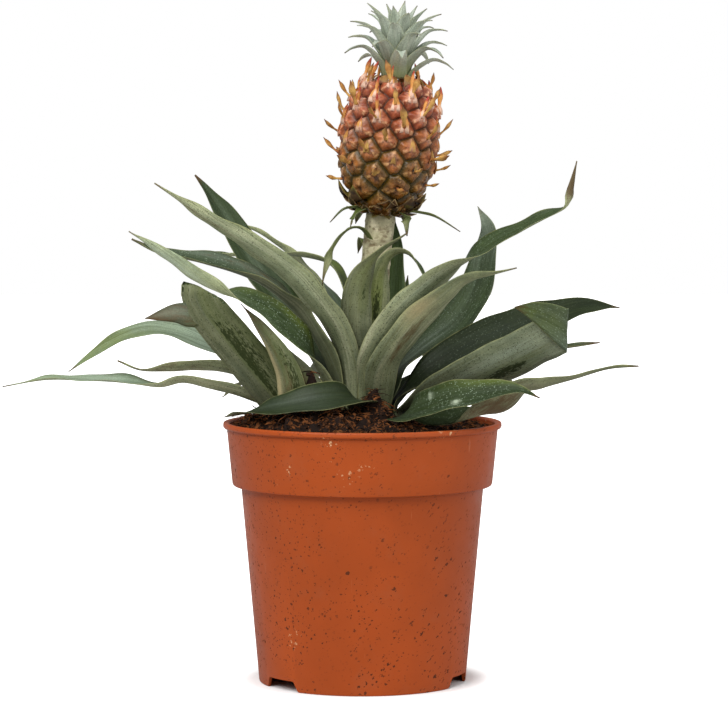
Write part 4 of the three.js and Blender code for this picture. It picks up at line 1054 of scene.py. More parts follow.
def pot_material():
    """Satin orange plastic with specks of soil, pale bits under the rim and faint scratches"""
    colours = bpy.context.scene.pineapple_colours
    made, n, shader = new_material("pot_plastic", Specular_IOR_Level=0.22)
    place = n.object_place()
    height = n.add("ShaderNodeSeparateXYZ", {0: place}, out="Z")
    cloud = n.noise(place, 22.0, 3.0, 0.6)
    film = n.noise(place, 75.0, 5.0, 0.7)
    face = n.mix(n.span(cloud, 0.3, 0.7), shaded(colours.pot, 0.86), colours.pot)
    face = n.mix(n.span(film, 0.5, 0.8, 0.0, 0.14), face, tint(140, 100, 76))

    # Specks, grit and crumbs of soil, in crowds and thicker below, and smears of it
    shift = n.scale(n.noise(place, 900.0, 2.0), (0.003, 0.003, 0.003))
    swirl = n.add("ShaderNodeVectorMath", {0: place, 1: shift}, operation="ADD")
    small = n.most(n.specks(swirl, 420.0, 0.3, 0.34), n.specks(swirl, 900.0, 0.44, 0.36))
    dirt = n.times(small, n.span(n.noise(place, 38.0, 4.0, 0.65), 0.38, 0.54, 0.2, 1.0))
    dirt = n.most(dirt, n.specks(swirl, 190.0, 0.18, 0.15))
    dirt = n.times(dirt, n.span(height, 0.1, 0.02, 0.75, 1.0), clamp=True)
    face = n.cover(face, tint(58, 34, 20), dirt, 0.85)
    face = n.cover(face, tint(84, 44, 24), n.patches(place, 90.0, 0.16, 2.0), 0.4)

    # Pale bits, most of them under the rim, and scratches and scuffs
    rim = n.times(n.span(height, 0.086, 0.1), n.span(n.noise(place, 60.0, 3.0), 0.6, 0.66))
    stray = n.span(n.noise(place, 44.0, 3.0), 0.68, 0.72, 0.0, 0.6)
    bits = n.times(n.specks(swirl, 760.0, 0.55, 0.4), n.most(rim, stray))
    face = n.mix(bits, face, tint(216, 172, 128))
    upright = n.noise(n.scale(place, (420.0, 420.0, 16.0)), 1.0, 2.0)
    face = n.mix(n.span(upright, 0.74, 0.79, 0.0, 0.3), face, tint(206, 130, 90))
    scuff = n.patches(n.scale(place, (1.0, 1.0, 0.45)), 46.0, 0.1, 5.0)
    face = n.cover(face, tint(214, 150, 118), scuff, 0.3)

    rough = n.plus(n.span(film, 0.3, 0.75, 0.36, 0.5), n.times(dirt, 0.35), clamp=True)
    relief = n.plus(n.plus(n.times(dirt, 0.8), n.times(cloud, 0.25)), bits)
    n.finish(shader, face, rough, relief, 0.3, 0.4 * MM)
    return made


class PINEAPPLE_OT_pot(bpy.types.Operator):
    """Makes the nursery pot: a lip, a tall collar, a tapered body and a notched skirt"""

    bl_idname = "pineapple.pot"
    bl_label = "Pot"

    def execute(self, context):
        lip = [(LIP_MIDDLE[0] + LIP_ROUND[0] * math.cos(a), LIP_MIDDLE[1] + LIP_ROUND[1] * math.sin(a))
               for a in np.radians((0, 30, 60, 90))]
        shell = mesh_of(lathe([*POT_OUTSIDE, *lip, *POT_INSIDE], POT_SPOKES), "pot_shell")
        pot = bpy.data.objects.new("pot_draft", shell)
        context.scene.collection.objects.link(pot)
        cutter = bmesh.new()
        for turn in NOTCH_TURNS:
            facing = Matrix.Rotation(math.radians(turn), 4, "Z")
            ends = (NOTCH_RADIUS - NOTCH_REACH, NOTCH_RADIUS + NOTCH_REACH)
            near, far = [[cutter.verts.new(facing @ (Vector((x, y, z)) * MM)) for y, z in NOTCH_OUTLINE]
                         for x in ends]
            cutter.faces.new(near)
            cutter.faces.new(far[::-1])
            for j in range(len(near)):
                cutter.faces.new((near[j - 1], near[j], far[j], far[j - 1]))
        for j in range(DRAIN_COUNT):
            turn = (j + 0.5) / DRAIN_COUNT * TURN
            middle = Vector((DRAIN_CIRCLE * math.cos(turn), DRAIN_CIRCLE * math.sin(turn), DRAIN_HEIGHT)) * MM
            bmesh.ops.create_cone(cutter, cap_ends=True, segments=DRAIN_SPOKES, radius1=DRAIN_RADIUS * MM,
                                  radius2=DRAIN_RADIUS * MM, depth=DRAIN_DEPTH * MM,
                                  matrix=Matrix.Translation(middle))
        bmesh.ops.recalc_face_normals(cutter, faces=cutter.faces)
        tool = bpy.data.objects.new("notch_tool", mesh_of(cutter, "notch_tool"))
        context.scene.collection.objects.link(tool)
        cut = pot.modifiers.new("notches", "BOOLEAN")
        cut.object = tool
        cut.operation = "DIFFERENCE"
        cut.solver = "EXACT"
        mesh = evaluated_mesh(pot, "pot_shell")
        bpy.data.objects.remove(tool)
        mesh.set_sharp_from_angle(angle=math.radians(POT_SHARP))
        mesh.materials.clear()
        mesh.materials.append(pot_material())
        piece("pot_shell", mesh, "pot", "pot")
        return {"FINISHED"}


def soil_height(x, y):
    """Height of the soil, lumpy and heaped, and level at the pot's wall"""
    edge = 1 - smoothstep(math.hypot(x, y), *SOIL_EDGE)
    lump = SOIL_LUMP * edge * (math.sin(0.31 * x + 1.7) * math.cos(0.37 * y) + math.sin(0.83 * x - 0.67 * y))
    heaps = sum(h * math.exp(-((x - a) ** 2 + (y - b) ** 2) / spread**2) for a, b, h, spread in MOUNDS)
    crumbs = CRUMB_HEIGHT * noise.fractal(Vector((x, y, 3)) / CRUMB_LENGTH, 0.7, 2.1, 4)
    return SOIL_LEVEL + lump + edge * heaps + crumbs * (WALL_CRUMBS + (1 - WALL_CRUMBS) * edge)


def soil_material(name, coarse):
    """Dark crumbs with flecks of coir, or the coir itself"""
    colours = bpy.context.scene.pineapple_colours
    made, n, shader = new_material(name, Specular_IOR_Level=0.2)
    place = n.object_place()
    grain = n.noise(place, 900.0, 4.0, 0.7)
    if coarse:
        face = n.mix(n.span(n.noise(place, 300.0, 1.0, 0.5), 0.42, 0.7), colours.soil, colours.coir)
    else:
        ground = n.mix(n.span(grain, 0.35, 0.65), shaded(colours.soil, 0.5), colours.soil)
        tufts = n.span(n.noise(place, 130.0, 3.0, 0.6), 0.5, 0.66)
        face = n.cover(ground, colours.coir, tufts, n.span(grain, 0.45, 0.6))
    n.finish(shader, face, n.span(grain, 0.3, 0.7, 0.78, 0.95), grain, 0.8, 0.5 * MM)
    return made


def chip_mesh(name, length, width, thickness, bend, draw):
    """A crumb or a strand: a bent four-sided sliver with uneven corners"""
    rings = []
    steps = 5 if length > 3 * width else 3
    for share in np.arange(steps) / (steps - 1):
        taper = CHIP_END + (1 - CHIP_END) * math.sin(math.pi * min(max(share, 0.08), 0.92))
        ring = []
        for y, z in ((-1, -1), (1, -1), (1, 1), (-1, 1)):
            at = Vector((length * (share - 0.5), width / 2 * y * taper, thickness / 2 * z * taper))
            at.z += bend * math.sin(math.pi * share)
            at.y += CHIP_SWAY * bend * math.sin(TURN * share)
            at += Vector([draw.uniform(-CHIP_UNEVEN, CHIP_UNEVEN) * width for _ in range(3)])
            ring.append(at * MM)
        rings.append(ring)
    return mesh_of(closed_skin(rings), name, CHIP_SHARP)


class PINEAPPLE_OT_soil(bpy.types.Operator):
    """Makes the plug of soil in the pot, strewn with chips and coir fibres"""

    bl_idname = "pineapple.soil"
    bl_label = "Soil"

    def execute(self, context):
        sizes = context.scene.pineapple_sizes
        rings = [(r, SOIL_LEVEL) for r in SOIL_RINGS]
        plug = lathe([*SOIL_SEAT, *rings, (0, SOIL_LEVEL)], SOIL_SPOKES)
        for vertex in plug.verts:
            if vertex.co.z > (SOIL_LEVEL - 0.01) * MM:
                vertex.co.z = soil_height(vertex.co.x / MM, vertex.co.y / MM) * MM
        surface = plug.copy()
        least_height, most_radius = [value * MM for value in SOIL_SURFACE]
        deep = [f for f in surface.faces if min(v.co.z for v in f.verts) < least_height or
                max(v.co.xy.length for v in f.verts) > most_radius]
        bmesh.ops.delete(surface, geom=deep, context="FACES")
        surface = mesh_of(surface, "soil_surface")
        mesh = mesh_of(plug, "soil_plug")
        mesh.materials.append(soil_material("moist_peat", False))
        piece("soil_plug", mesh, "soil", "soil")
        draw = np.random.default_rng(SOIL_SEED)
        coir = soil_material("coir", True)
        for name, (measures, tilt), density in (("soil_chips", CHIPS, sizes.soil_chips),
                                                ("soil_fibres", FIBRES, sizes.soil_fibres)):
            shapes = bpy.data.collections.new(name + "_shapes")
            for number, measure in enumerate(measures):
                label = f"{name}_{number}"
                shapes.objects.link(bpy.data.objects.new(label, chip_mesh(label, *measure, draw)))
            litter = grown_mesh(name, surface.copy(), "strewn_on_surface", {
                "Shapes": shapes, "Density": density, "Smallest": LITTER_SIZES[0],
                "Largest": LITTER_SIZES[1], "Tilt": tilt, "Seed": LITTER_SEED, "Finish": coir})
            for shape in list(shapes.objects):
                bpy.data.objects.remove(shape)
            bpy.data.collections.remove(shapes)
            piece(name, litter, "soil")
        return {"FINISHED"}


def stalk_material():
    """Pale green skin with cream patches, brown spots and leaf scars, and painted shade low down"""
    colours = bpy.context.scene.pineapple_colours
    made, n, shader = new_material("stalk_skin", Specular_IOR_Level=0.35)
    place = n.object_place()
    height = n.add("ShaderNodeSeparateXYZ", {0: place}, out="Z")
    cloud = n.noise(place, 95.0, 4.0, 0.65)
    face = n.mix(n.span(cloud, 0.36, 0.62), tint(178, 172, 132), colours.stalk)
    cream = n.patches(place, 150.0, 0.42, 3.0)
    face = n.cover(face, tint(232, 222, 188), cream, n.span(height, 0.15, 0.185, 0.35, 1.0))
    spots = n.times(n.specks(place, 420.0, 0.42, 0.34), 0.7)
    stain = n.most(spots, n.times(n.patches(n.scale(place, (1.0, 1.0, 1.7)), 170.0, 0.47, 9.0), 0.72))
    face = n.mix(stain, face, tint(112, 88, 56))
    # Painted shade: greyer and darker low on the stalk, down among the leaves
    face = n.mix(n.span(height, 0.19, 0.165, 0.0, 0.5), face, tint(146, 150, 122))
    rings = n.add("ShaderNodeTexWave", {"Vector": place, "Scale": 24.0, "Distortion": 1.6, "Detail": 2.0},
                  out=1, bands_direction="Z")
    face = n.mix(n.span(rings, 0.86, 0.98, 0.0, 0.4), face, tint(96, 84, 56))
    relief = n.math("SUBTRACT", n.times(cloud, 0.6), n.times(stain, 0.5))
    n.finish(shader, face, n.span(cloud, 0.3, 0.7, 0.42, 0.62), relief, 0.5, 0.5 * MM)
    return made


def bracts_piece(name, spines, seed_step):
    """Thin curled bracts in one piece"""
    sheaf = Sheaf()
    for number, points in enumerate(spines):
        add_blade(sheaf, points, BRACT_WIDTH, BRACT_FOOT, inward_of(points), seed=seed_step * number,
                  **BRACT_BLADE)
    faces = [bpy.data.materials[face] for face in ("leaf_top", "leaf_underside")]
    piece(name, sheaf.mesh(name, faces), "leaf")


class PINEAPPLE_OT_stalk(bpy.types.Operator):
    """Makes the stalk under the fruit and its thin bracts"""

    bl_idname = "pineapple.stalk"
    bl_label = "Stalk"

    def execute(self, context):
        share, middle, _, _, length = even_course(STALK_COURSE, STALK_ROWS)
        from_node = share * length % STALK_NODE_GAP - STALK_NODE_MIDDLE
        swell = STALK_NODE_RISE * np.exp(-(from_node / STALK_NODE_HALF) ** 2)
        rings = []
        for at, bulge, part in zip(middle, swell, share):
            ring = []
            for angle in np.linspace(0, TURN, STALK_SPOKES + 1)[:-1]:
                out = np.array([math.cos(angle), math.sin(angle), 0])
                rough = STALK_ROUGHNESS * noise.noise(Vector(at + 6 * out) / 3.2)
                radius = STALK_RADIUS * (1 + STALK_FLARE * part**4) + bulge + rough
                ring.append(Vector(at + out * radius) * MM)
            rings.append(ring)
        mesh = mesh_of(closed_skin(rings), "stalk_skin", STALK_SHARP)
        mesh.materials.append(stalk_material())
        piece("stalk_skin", mesh, "stalk", "stalk")
        bracts_piece("stalk_bracts", STALK_BRACTS, 0.3)
        return {"FINISHED"}


def barrel(share):
    """The fruit's radius at a share of its length"""
    share = np.asarray(share, float)
    return spline([[radius] for radius in BARREL], share.ravel())[0][:, 0].reshape(share.shape)


def on_barrel(share, turn):
    """Places on the barrel and the directions out of it and up along it"""
    step = 0.01
    slope = (barrel(share + step) - barrel(share - step)) / (2 * step * FRUIT_LENGTH)
    radial = np.stack([np.sin(turn), -np.cos(turn), np.zeros_like(turn)], axis=-1)
    rise = np.array([0, 0, 1.0])
    place = radial * barrel(share)[..., None] + rise * (share * FRUIT_LENGTH)[..., None]
    up = rise + radial * slope[..., None]
    up = up / np.linalg.norm(up, axis=-1)[..., None]
    out = radial - rise * slope[..., None]
    return place, out / np.linalg.norm(out, axis=-1)[..., None], up


def eye_places(count):
    """Shares and turns of the eyes: a spiral whose cells are evened out, larger at the fruit's foot"""
    spot = (np.arange(count) + 0.5) / count
    share, turn = lerp(EYE_FIRST, EYE_LAST, spot**EYE_CROWDING), np.arange(count) * GOLDEN_TURN
    rows, spokes = np.meshgrid(np.linspace(0.0, FRUIT_TOP, EYE_GRID[0]),
                               np.linspace(0, TURN, EYE_GRID[1], endpoint=False))
    rows = rows.ravel()
    skin = on_barrel(rows, spokes.ravel())[0]
    area = barrel(rows)
    for _ in range(EYE_ROUNDS):
        centre = on_barrel(share, turn)[0]
        size = lerp(EYE_FOOT_SIZE, EYE_TOP_SIZE, share)
        own = np.argmin(np.linalg.norm(skin[:, None] - centre[None], axis=2) / size, axis=1)
        total = np.maximum(np.bincount(own, area, count), 1e-6)
        x, y, z = (np.bincount(own, area * skin[:, k], count) / total for k in range(3))
        share, turn = z / FRUIT_LENGTH, np.arctan2(x, -y)
    return share, turn


def leaning(base, tilt):
    """The place and lean of the fruit or the crown, for meshes in metres"""
    return Matrix.Translation(Vector(base) * MM) @ Matrix.Rotation(math.radians(tilt), 4, "Y")


def fruit_material():
    """Glossy eyes, ripe above and olive brown below, with dark grooves and pale beaks"""
    colours = bpy.context.scene.pineapple_colours
    made, n, shader = new_material("fruit_skin", Specular_IOR_Level=0.4)
    place = n.object_place()
    ripe, edge = n.attribute("ripe"), n.attribute("edge")
    cloud = n.noise(place, 210.0, 5.0, 0.7)
    fine = n.noise(place, 620.0, 4.0, 0.65)

    # The eyes ripen from below upwards
    uneven = n.plus(ripe, n.times(n.math("SUBTRACT", cloud, 0.5), 0.5))
    lower = n.mix(n.span(cloud, 0.36, 0.62), tint(72, 42, 12), colours.eye_green)
    middle = n.mix(n.span(cloud, 0.36, 0.62), tint(128, 60, 22), tint(198, 116, 58))
    upper = n.mix(n.span(cloud, 0.36, 0.64), tint(128, 48, 28), colours.eye_ripe)
    face = n.mix(n.span(uneven, 0.1, 0.4), lower, middle)
    face = n.toned(n.mix(n.span(uneven, 0.45, 0.85), face, upper), n.attribute("tone"))

    # A dark rim round each eye, its pale rays, which are painted highlights, and its beak, then the groove
    # and the pit
    shore = n.near(edge, n.math("SUBTRACT", 3.0, n.times(ripe, 0.9)))
    shore = n.times(shore, n.span(cloud, 0.25, 0.6, 0.6, 1.25), clamp=True)
    face = n.cover(face, n.mix(n.span(ripe, 0.2, 0.75), tint(82, 62, 8), tint(112, 46, 22)), shore, 0.85)
    ray_highlights = n.span(n.attribute("ray_highlight"), 0.15, 0.8, 0.1, 0.85)
    face = n.cover(face, n.mix(ripe, tint(188, 142, 80), tint(236, 180, 138)), n.span(fine, 0.42, 0.62), ray_highlights)
    face = n.cover(face, tint(236, 190, 166), n.attribute("beak"), n.span(fine, 0.2, 0.55, 0.5, 0.95))
    groove = n.near(edge, n.math("SUBTRACT", 1.25, n.times(ripe, 0.75)))
    face = n.mix(groove, face, n.mix(n.span(ripe, 0.15, 0.7), tint(60, 50, 4), colours.groove))
    face = n.mix(n.attribute("pit"), face, tint(52, 32, 18))

    rough = n.plus(n.span(fine, 0.3, 0.7, 0.14, 0.34), n.times(ripe, 0.2))
    n.finish(shader, face, rough, n.plus(n.times(cloud, 0.7), n.times(fine, 0.35)), 0.6, 0.8 * MM)
    return made


def petal_material():
    """Dried petals and scales: straw, orange and red brown towards the tip"""
    colours = bpy.context.scene.pineapple_colours
    made, n, shader = new_material("dried_petals", Specular_IOR_Level=0.3)
    place = n.object_place()
    cloud = n.noise(place, 260.0, 3.0, 0.6)
    ground = n.span(cloud, 0.35, 0.65)
    reach = n.plus(n.attribute("share"), n.times(n.math("SUBTRACT", cloud, 0.5), 0.35))
    fresh = n.mix(n.span(reach, 0.22, 0.42), tint(236, 196, 172), tint(226, 158, 84))
    fresh = n.mix(n.span(reach, 0.6, 0.9), fresh, tint(176, 66, 54))
    withered = n.mix(ground, tint(168, 112, 54), colours.flower)
    withered = n.mix(n.span(reach, 0.7, 1.0), withered, tint(112, 66, 40))
    withered = n.mix(n.span(reach, 0.25, 0.0), withered, tint(150, 84, 50))
    bark = n.mix(ground, tint(58, 42, 28), tint(104, 78, 50))
    bark = n.cover(bark, tint(168, 142, 96), n.span(n.attribute("margin"), 0.9, 0.3), n.span(cloud, 0.4, 0.6))
    bark = n.mix(n.span(n.noise(place, 85.0, 2.0), 0.52, 0.62, 0.0, 0.7), bark, tint(128, 116, 46))
    face = n.mix(n.attribute("fresh"), withered, fresh)
    n.finish(shader, n.mix(n.attribute("husk"), face, bark), n.span(cloud, 0.3, 0.7, 0.45, 0.65))
    return made


def petal_shape(name, points, width, base_width, channel):
    """A template of a small blade, for copies"""
    sheaf = Sheaf()
    add_blade(sheaf, points, width, base_width, np.array([0, -1.0, 0]), channel=channel, depth=channel,
              **PETAL_BLADE)
    return bpy.data.objects.new(name, sheaf.mesh(name, []))


def flower_shape(name, profile, length, flatness, bend):
    """A template of a dried flower: a bottle shape that is pressed flat, ridged and bent"""
    made = lathe([(0, 0), *[(radius, share * length) for radius, share in profile], (0, 1.02 * length)], 8)
    for vertex in made.verts:
        share = vertex.co.z / (length * MM)
        turn = math.atan2(vertex.co.y, vertex.co.x) + 1.1 * share
        radius = vertex.co.xy.length * (1 + 0.3 * math.cos(3 * turn) * share)
        vertex.co.x = radius * math.cos(turn)
        vertex.co.y = radius * flatness * math.sin(turn) + bend * MM * share**2
    mesh = mesh_of(made, name)
    store(mesh, "share", [vertex.co.z / (length * MM) for vertex in mesh.vertices])
    return bpy.data.objects.new(name, mesh)


def two_nearest(places, centres):
    """The nearest centre of each place, the next one, and the distances to both"""
    gap = np.linalg.norm(places[:, None, :] - centres[None], axis=2)
    order = np.argpartition(gap, 2, axis=1)[:, :2]
    pair = np.take_along_axis(gap, order, 1)
    swap = pair[:, 0] > pair[:, 1]
    order[swap] = order[swap][:, ::-1]
    return *order.T, *np.sort(pair, axis=1).T


def eyes_skin(eye_share, eyes, eye_tone, eye_ripe, eye_height):
    """The fruit's skin: an eye swells round each centre, with its beak, its pit, its folds and its pale rays,
    which are painted highlights
    """
    centre, eye_out, eye_up = eyes
    share = np.linspace(-SKIN_FOOT, FRUIT_TOP + SKIN_TOP, SKIN_ROWS)
    turn = np.arange(SKIN_SPOKES) / SKIN_SPOKES * TURN
    share, turn = [a.ravel() for a in np.meshgrid(share, turn, indexing="ij")]
    place, out, _ = on_barrel(np.clip(share, 0.0, FRUIT_TOP), turn)
    close = np.clip((share - FRUIT_TOP) / SKIN_TOP, 0, 1) + np.clip(-share / SKIN_FOOT, 0, 1)
    place[:, :2] *= (1 - 0.9 * close)[:, None]
    own, other, near, next_near = two_nearest(place, centre)
    border = (next_near**2 - near**2) / (2 * np.linalg.norm(centre[own] - centre[other], axis=1))
    local = place - centre[own]
    up = np.sum(local * eye_up[own], axis=1)
    across = np.sum(local * np.cross(eye_up[own], eye_out[own]), axis=1)
    far = np.hypot(up, across)
    angle = np.arctan2(across, up)
    ripe = eye_ripe[own]
    dome = np.sqrt(1 - (1 - np.clip(border / lerp(*DOME_REACH, ripe), 0, 1)) ** 2)
    peak = np.clip(1 - far / (PEAK_REACH * lerp(EYE_FOOT_SIZE, EYE_TOP_SIZE, eye_share[own])), 0, 1)
    beak = ripe * np.exp(-(across / lerp(*BEAK_REACH, smoothstep(up, -2, 3))) ** 2) * smoothstep(up, -3, 0.5)
    pit = (1 - smoothstep(ripe, 0.1, 0.5)) * np.exp(-(far / PIT_REACH) ** 2)
    # Pale rays on each eye, painted highlights
    ray_highlight = np.maximum(0, np.cos(3 * angle)) ** 2 * smoothstep(far, 0.3, 1.6)
    fold = lerp(*FOLD_RISE, ripe) * np.cos(6 * angle + eye_tone[own]) * smoothstep(far, 0.5, 2.6) * dome
    rough = np.array([noise.fractal(Vector(p) / 1.9, 0.8, 2.0, 3) for p in place]) * ROUGHNESS
    rise = 0.2 + eye_height * lerp(*DOME_SHARE, ripe) * dome + lerp(*PEAK_RISE, ripe) * peak
    rise = rise + BEAK_RISE * beak * dome * peak - PIT_DEPTH * pit + (fold + rough) * dome
    rise = rise * (1 - 0.5 * smoothstep(share, FRUIT_TOP - SKIN_TOP, FRUIT_TOP))
    place = place + out * (rise * (1 - 0.7 * close))[:, None]
    made = closed_skin((place * MM).reshape(SKIN_ROWS, SKIN_SPOKES, 3))
    bmesh.ops.triangulate(made, faces=[f for f in made.faces if len(f.verts) > 4])
    mesh = mesh_of(made, "fruit_skin")
    for name, values in {"ripe": ripe, "edge": border, "beak": beak * dome, "pit": pit, "ray_highlight": ray_highlight * dome,
                         "tone": eye_tone[own]}.items():
        store(mesh, name, values)
    return mesh


class PINEAPPLE_OT_fruit(bpy.types.Operator):
    """Makes the fruit: eyes in spirals, beaks, dried flowers and the bracts under it"""

    bl_idname = "pineapple.fruit"
    bl_label = "Fruit"

    def execute(self, context):
        sizes = context.scene.pineapple_sizes
        count = sizes.eye_count
        eye_share, eye_turn = eye_places(count)
        centre, eye_out, eye_up = eyes = on_barrel(eye_share, eye_turn)
        draw = np.random.default_rng(FRUIT_SEED)
        eye_tone = draw.uniform(0.84, 1.14, count)
        eye_ripe = np.clip(smoothstep(eye_share, 0.1, 0.95) + draw.uniform(-0.07, 0.07, count), 0, 1)
        mesh = eyes_skin(eye_share, eyes, eye_tone, eye_ripe, sizes.eye_height / MM)
        lean = leaning(FRUIT_BASE, FRUIT_TILT)
        mesh.transform(lean)
        mesh.materials.append(fruit_material())
        piece("fruit_skin", mesh, "fruit", "fruit")

        petals = petal_material()
        length = sizes.flower_length / MM
        fresh = flower_shape("fresh_flower", FRESH_FLOWER, length, 0.75, 0.8)
        withered = flower_shape("withered_flower", WITHERED_FLOWER, length, 0.66, 2.4)
        scale = petal_shape("scale_shape", *EYE_SCALE)
        husk = petal_shape("husk_shape", *FOOT_HUSK)
        across = np.cross(eye_up, eye_out)
        tilt = eye_up * draw.uniform(0.1, 0.8, (count, 1)) * lerp(0.2, 1.7, eye_share)[:, None]
        tilt = tilt + across * draw.uniform(-0.45, 0.45, (count, 1))
        budding = draw.uniform(0, 1, count)
        curl = eye_up + across * draw.uniform(-1.2, 1.2, (count, 1))
        number = np.arange(FOOT_HUSKS)
        foot_share = np.where(number < FOOT_ROWS, lerp(*FOOT_BAND, number / (FOOT_ROWS - 1)), TOP_BAND)
        foot, foot_out, foot_up = on_barrel(foot_share, number * GOLDEN_TURN)
        at_top = foot_share > 0.5
        foot_lean = foot_up * np.where(at_top, 1.3, draw.uniform(-0.5, 1.5, FOOT_HUSKS))[:, None]
        ones = np.ones(count)
        # Name, shape, places, the directions of its +Z and +Y, sizes, which grow, freshness, share of bark
        groups = [
            ("fruit_flowers", fresh, centre + eye_out * FLOWER_STAND,
             0.45 * eye_out + eye_up + 0.5 * tilt, across,
             ones, (eye_share > FRESH_ABOVE) & (budding < 0.72), ones, 0 * ones),
            ("fruit_withered", withered, centre + eye_out * WITHERED_STAND, eye_out + tilt, curl,
             ones, (eye_share > WITHERED_BAND[0]) & (eye_share < WITHERED_BAND[1]) & (budding > 0.34),
             0 * ones, 0 * ones),
            ("fruit_beaks", scale, centre + eye_out * SCALE_STAND, 0.8 * eye_out + 0.5 * eye_up, eye_up,
             lerp(0.5, 1.0, eye_ripe), eye_share > SCALES_ABOVE,
             smoothstep(eye_ripe, 0.3, 0.8), 0.8 - 0.8 * smoothstep(eye_ripe, 0, 0.5)),
            ("fruit_husks", husk, foot + foot_out * HUSK_STAND, foot_out + foot_lean, foot_up,
             np.where(at_top, 0.62, 1.0), number >= 0, 0.25 * at_top, 1 - 0.45 * at_top)]
        for name, shape, at, facing, rising, size, chosen, freshness, bark in groups:
            points = bpy.data.meshes.new(name + "_points")
            points.from_pydata((at[chosen] * MM).tolist(), [], [])
            facing = facing / np.linalg.norm(facing, axis=1)[:, None]
            store(points, "out", facing[chosen], "FLOAT_VECTOR")
            store(points, "up", rising[chosen], "FLOAT_VECTOR")
            for key, values in (("size", size), ("fresh", freshness), ("husk", bark)):
                store(points, key, values[chosen])
            copies = grown_mesh(name, points, "copies_on_points", {
                "Shape": shape, "Smallest": COPY_SIZES[0], "Largest": COPY_SIZES[1],
                "Seed": COPIES_SEED, "Finish": petals})
            bpy.data.objects.remove(shape)
            copies.transform(lean)
            piece(name, copies, "fruit")
        bracts_piece("fruit_bracts", FRUIT_BRACTS, 0.37)
        return {"FINISHED"}


class PINEAPPLE_OT_crown(bpy.types.Operator):
    """Makes the crown: short leaves in a spiral, the oldest outside"""

    bl_idname = "pineapple.crown"
    bl_label = "Crown"

    def execute(self, context):
        colours = context.scene.pineapple_colours
        count = context.scene.pineapple_sizes.crown_leaves
        draw = np.random.default_rng(CROWN_SEED)
        sheaf = Sheaf()
        for i in range(count):
            age = 1 - i / (count - 1)
            turn = i * GOLDEN_TURN
            outward = np.array([math.cos(turn), math.sin(turn), 0])

            def aged(measure, share=age):
                return lerp(CROWN_YOUNG[measure], CROWN_OLD[measure], share)

            reach = aged("reach", 1 - (1 - age) ** CROWN_SPREAD) * draw.uniform(0.94, 1.08)
            height = aged("height", age**CROWN_SINK) * draw.uniform(0.95, 1.05)
            droop = aged("droop") * draw.uniform(-0.2, 1.3)
            points = []
            for out, young, old in zip(CROWN_OUT, CROWN_UP_YOUNG, CROWN_UP_OLD):
                r = aged("root") + out * reach
                z = lerp(aged("foot"), height, lerp(young, old, age)) + aged("arch") * math.sin(math.pi * out)
                points.append([*(outward * r)[:2], z - droop * out**4, 0])
            marks = [("yellow", 0.0, 0.32, 0.7 * age + 0.3), ("dry", 1.02, 0.08, 0.9),
                     ("silver", 0.6, 0.5, 0.7)]
            add_blade(sheaf, points, aged("width"), CROWN_LEAF_FOOT, -outward, seed=i * CROWN_SEED_STEP % 1,
                      tone=draw.uniform(*CROWN_TONES), marks=marks, **CROWN_BLADE)
        faces = [leaf_material("crown_top", shaded(colours.crown, 0.8), UPPER_FACE),
                 leaf_material("crown_underside", tuple(colours.crown), LOWER_FACE)]
        mesh = sheaf.mesh("crown_tuft", faces, leaning(CROWN_BASE, CROWN_TILT))
        piece("crown_tuft", mesh, "crown", "crown")
        return {"FINISHED"}


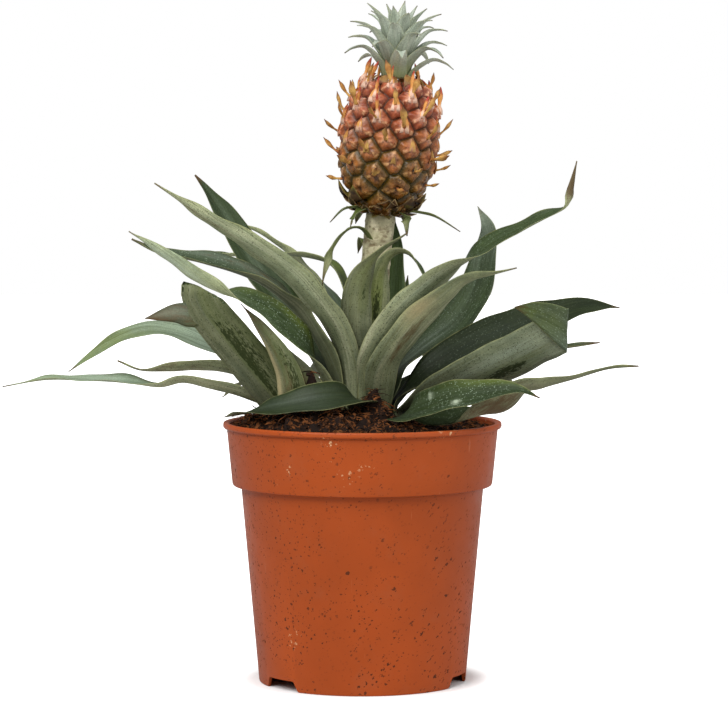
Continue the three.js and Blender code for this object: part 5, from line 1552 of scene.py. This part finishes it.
class PINEAPPLE_OT_stage(bpy.types.Operator):
    """Makes the pale floor, the soft lights and the camera"""

    bl_idname = "pineapple.stage"
    bl_label = "Stage"

    def execute(self, context):
        scene = context.scene
        made = bmesh.new()
        bmesh.ops.create_grid(made, x_segments=1, y_segments=1, size=FLOOR_HALF)
        floor = bpy.data.objects.new("floor", mesh_of(made, "floor"))
        scene.collection.objects.link(floor)
        finish, n, shader = new_material("floor_paper", Roughness=0.9, Specular_IOR_Level=0.1)
        seen = n.add("ShaderNodeLightPath", out="Is Camera Ray")
        n.give(n.mix(seen, FLOOR_BOUNCE, FLOOR_SEEN), shader["Base Color"])
        spot = n.object_place()
        away = n.add("ShaderNodeVectorMath", {0: spot}, out="Value", operation="LENGTH")
        glow = n.mix(n.times(seen, n.span(away, *SHADOW_FADE)), (0, 0, 0, 1), FLOOR_GLOW)
        n.give(glow, shader["Emission Color"])
        shader["Emission Strength"].default_value = 1.0
        floor.data.materials.append(finish)
        world = bpy.data.worlds.new("studio")
        world.use_nodes = True
        n = Nodes(world.node_tree)
        seen = n.add("ShaderNodeLightPath", out="Is Camera Ray")
        backdrop = world.node_tree.nodes["Background"].inputs
        backdrop["Color"].default_value = (1, 1, 1, 1)
        n.give(n.plus(n.times(seen, BACKDROP_SEEN), BACKDROP_LIGHT), backdrop["Strength"])
        scene.world = world
        for name, place, angle, strength in LIGHTS:
            data = bpy.data.lights.new(name, "SUN")
            data.angle = math.radians(angle)
            data.energy = strength
            lamp = bpy.data.objects.new(name, data)
            lamp.location = place
            lamp.rotation_euler = (-Vector(place)).to_track_quat("-Z", "Y").to_euler()
            scene.collection.objects.link(lamp)
        data = bpy.data.cameras.new("photo_view")
        data.lens = CAMERA_LENS
        data.sensor_width = CAMERA_SENSOR
        data.clip_end = CAMERA_REACH
        camera = bpy.data.objects.new("photo_view", data)
        camera.location = [value * MM for value in CAMERA_PLACE]
        camera.rotation_euler = (math.radians(90 - CAMERA_DROP), 0, 0)
        scene.collection.objects.link(camera)
        scene.camera = camera
        scene.view_settings.view_transform = "Standard"
        return {"FINISHED"}


STEPS = (PINEAPPLE_OT_stage, PINEAPPLE_OT_pot, PINEAPPLE_OT_soil, PINEAPPLE_OT_leaves, PINEAPPLE_OT_stalk,
         PINEAPPLE_OT_fruit, PINEAPPLE_OT_crown)


class PINEAPPLE_PT_panel(bpy.types.Panel):
    bl_idname = "PINEAPPLE_PT_panel"
    bl_label = "Potted pineapple"
    bl_space_type = "VIEW_3D"
    bl_region_type = "UI"
    bl_category = "Pineapple"

    def draw(self, context):
        for group in (context.scene.pineapple_sizes, context.scene.pineapple_colours):
            for key in group.__annotations__:
                self.layout.prop(group, key)
        for step in STEPS:
            self.layout.operator(step.bl_idname)


CLASSES = (PineappleSizes, PineappleColours, *STEPS, PINEAPPLE_PT_panel)


def register():
    for item in CLASSES:
        bpy.utils.register_class(item)
    bpy.types.Scene.pineapple_sizes = bpy.props.PointerProperty(type=PineappleSizes)
    bpy.types.Scene.pineapple_colours = bpy.props.PointerProperty(type=PineappleColours)


def unregister():
    del bpy.types.Scene.pineapple_colours
    del bpy.types.Scene.pineapple_sizes
    for item in reversed(CLASSES):
        bpy.utils.unregister_class(item)


def main():
    register()
    bpy.ops.pineapple.stage()
    bpy.ops.pineapple.pot()
    bpy.ops.pineapple.soil()
    bpy.ops.pineapple.leaves()
    bpy.ops.pineapple.stalk()
    bpy.ops.pineapple.fruit()
    bpy.ops.pineapple.crown()


if __name__ == "__main__":
    main()
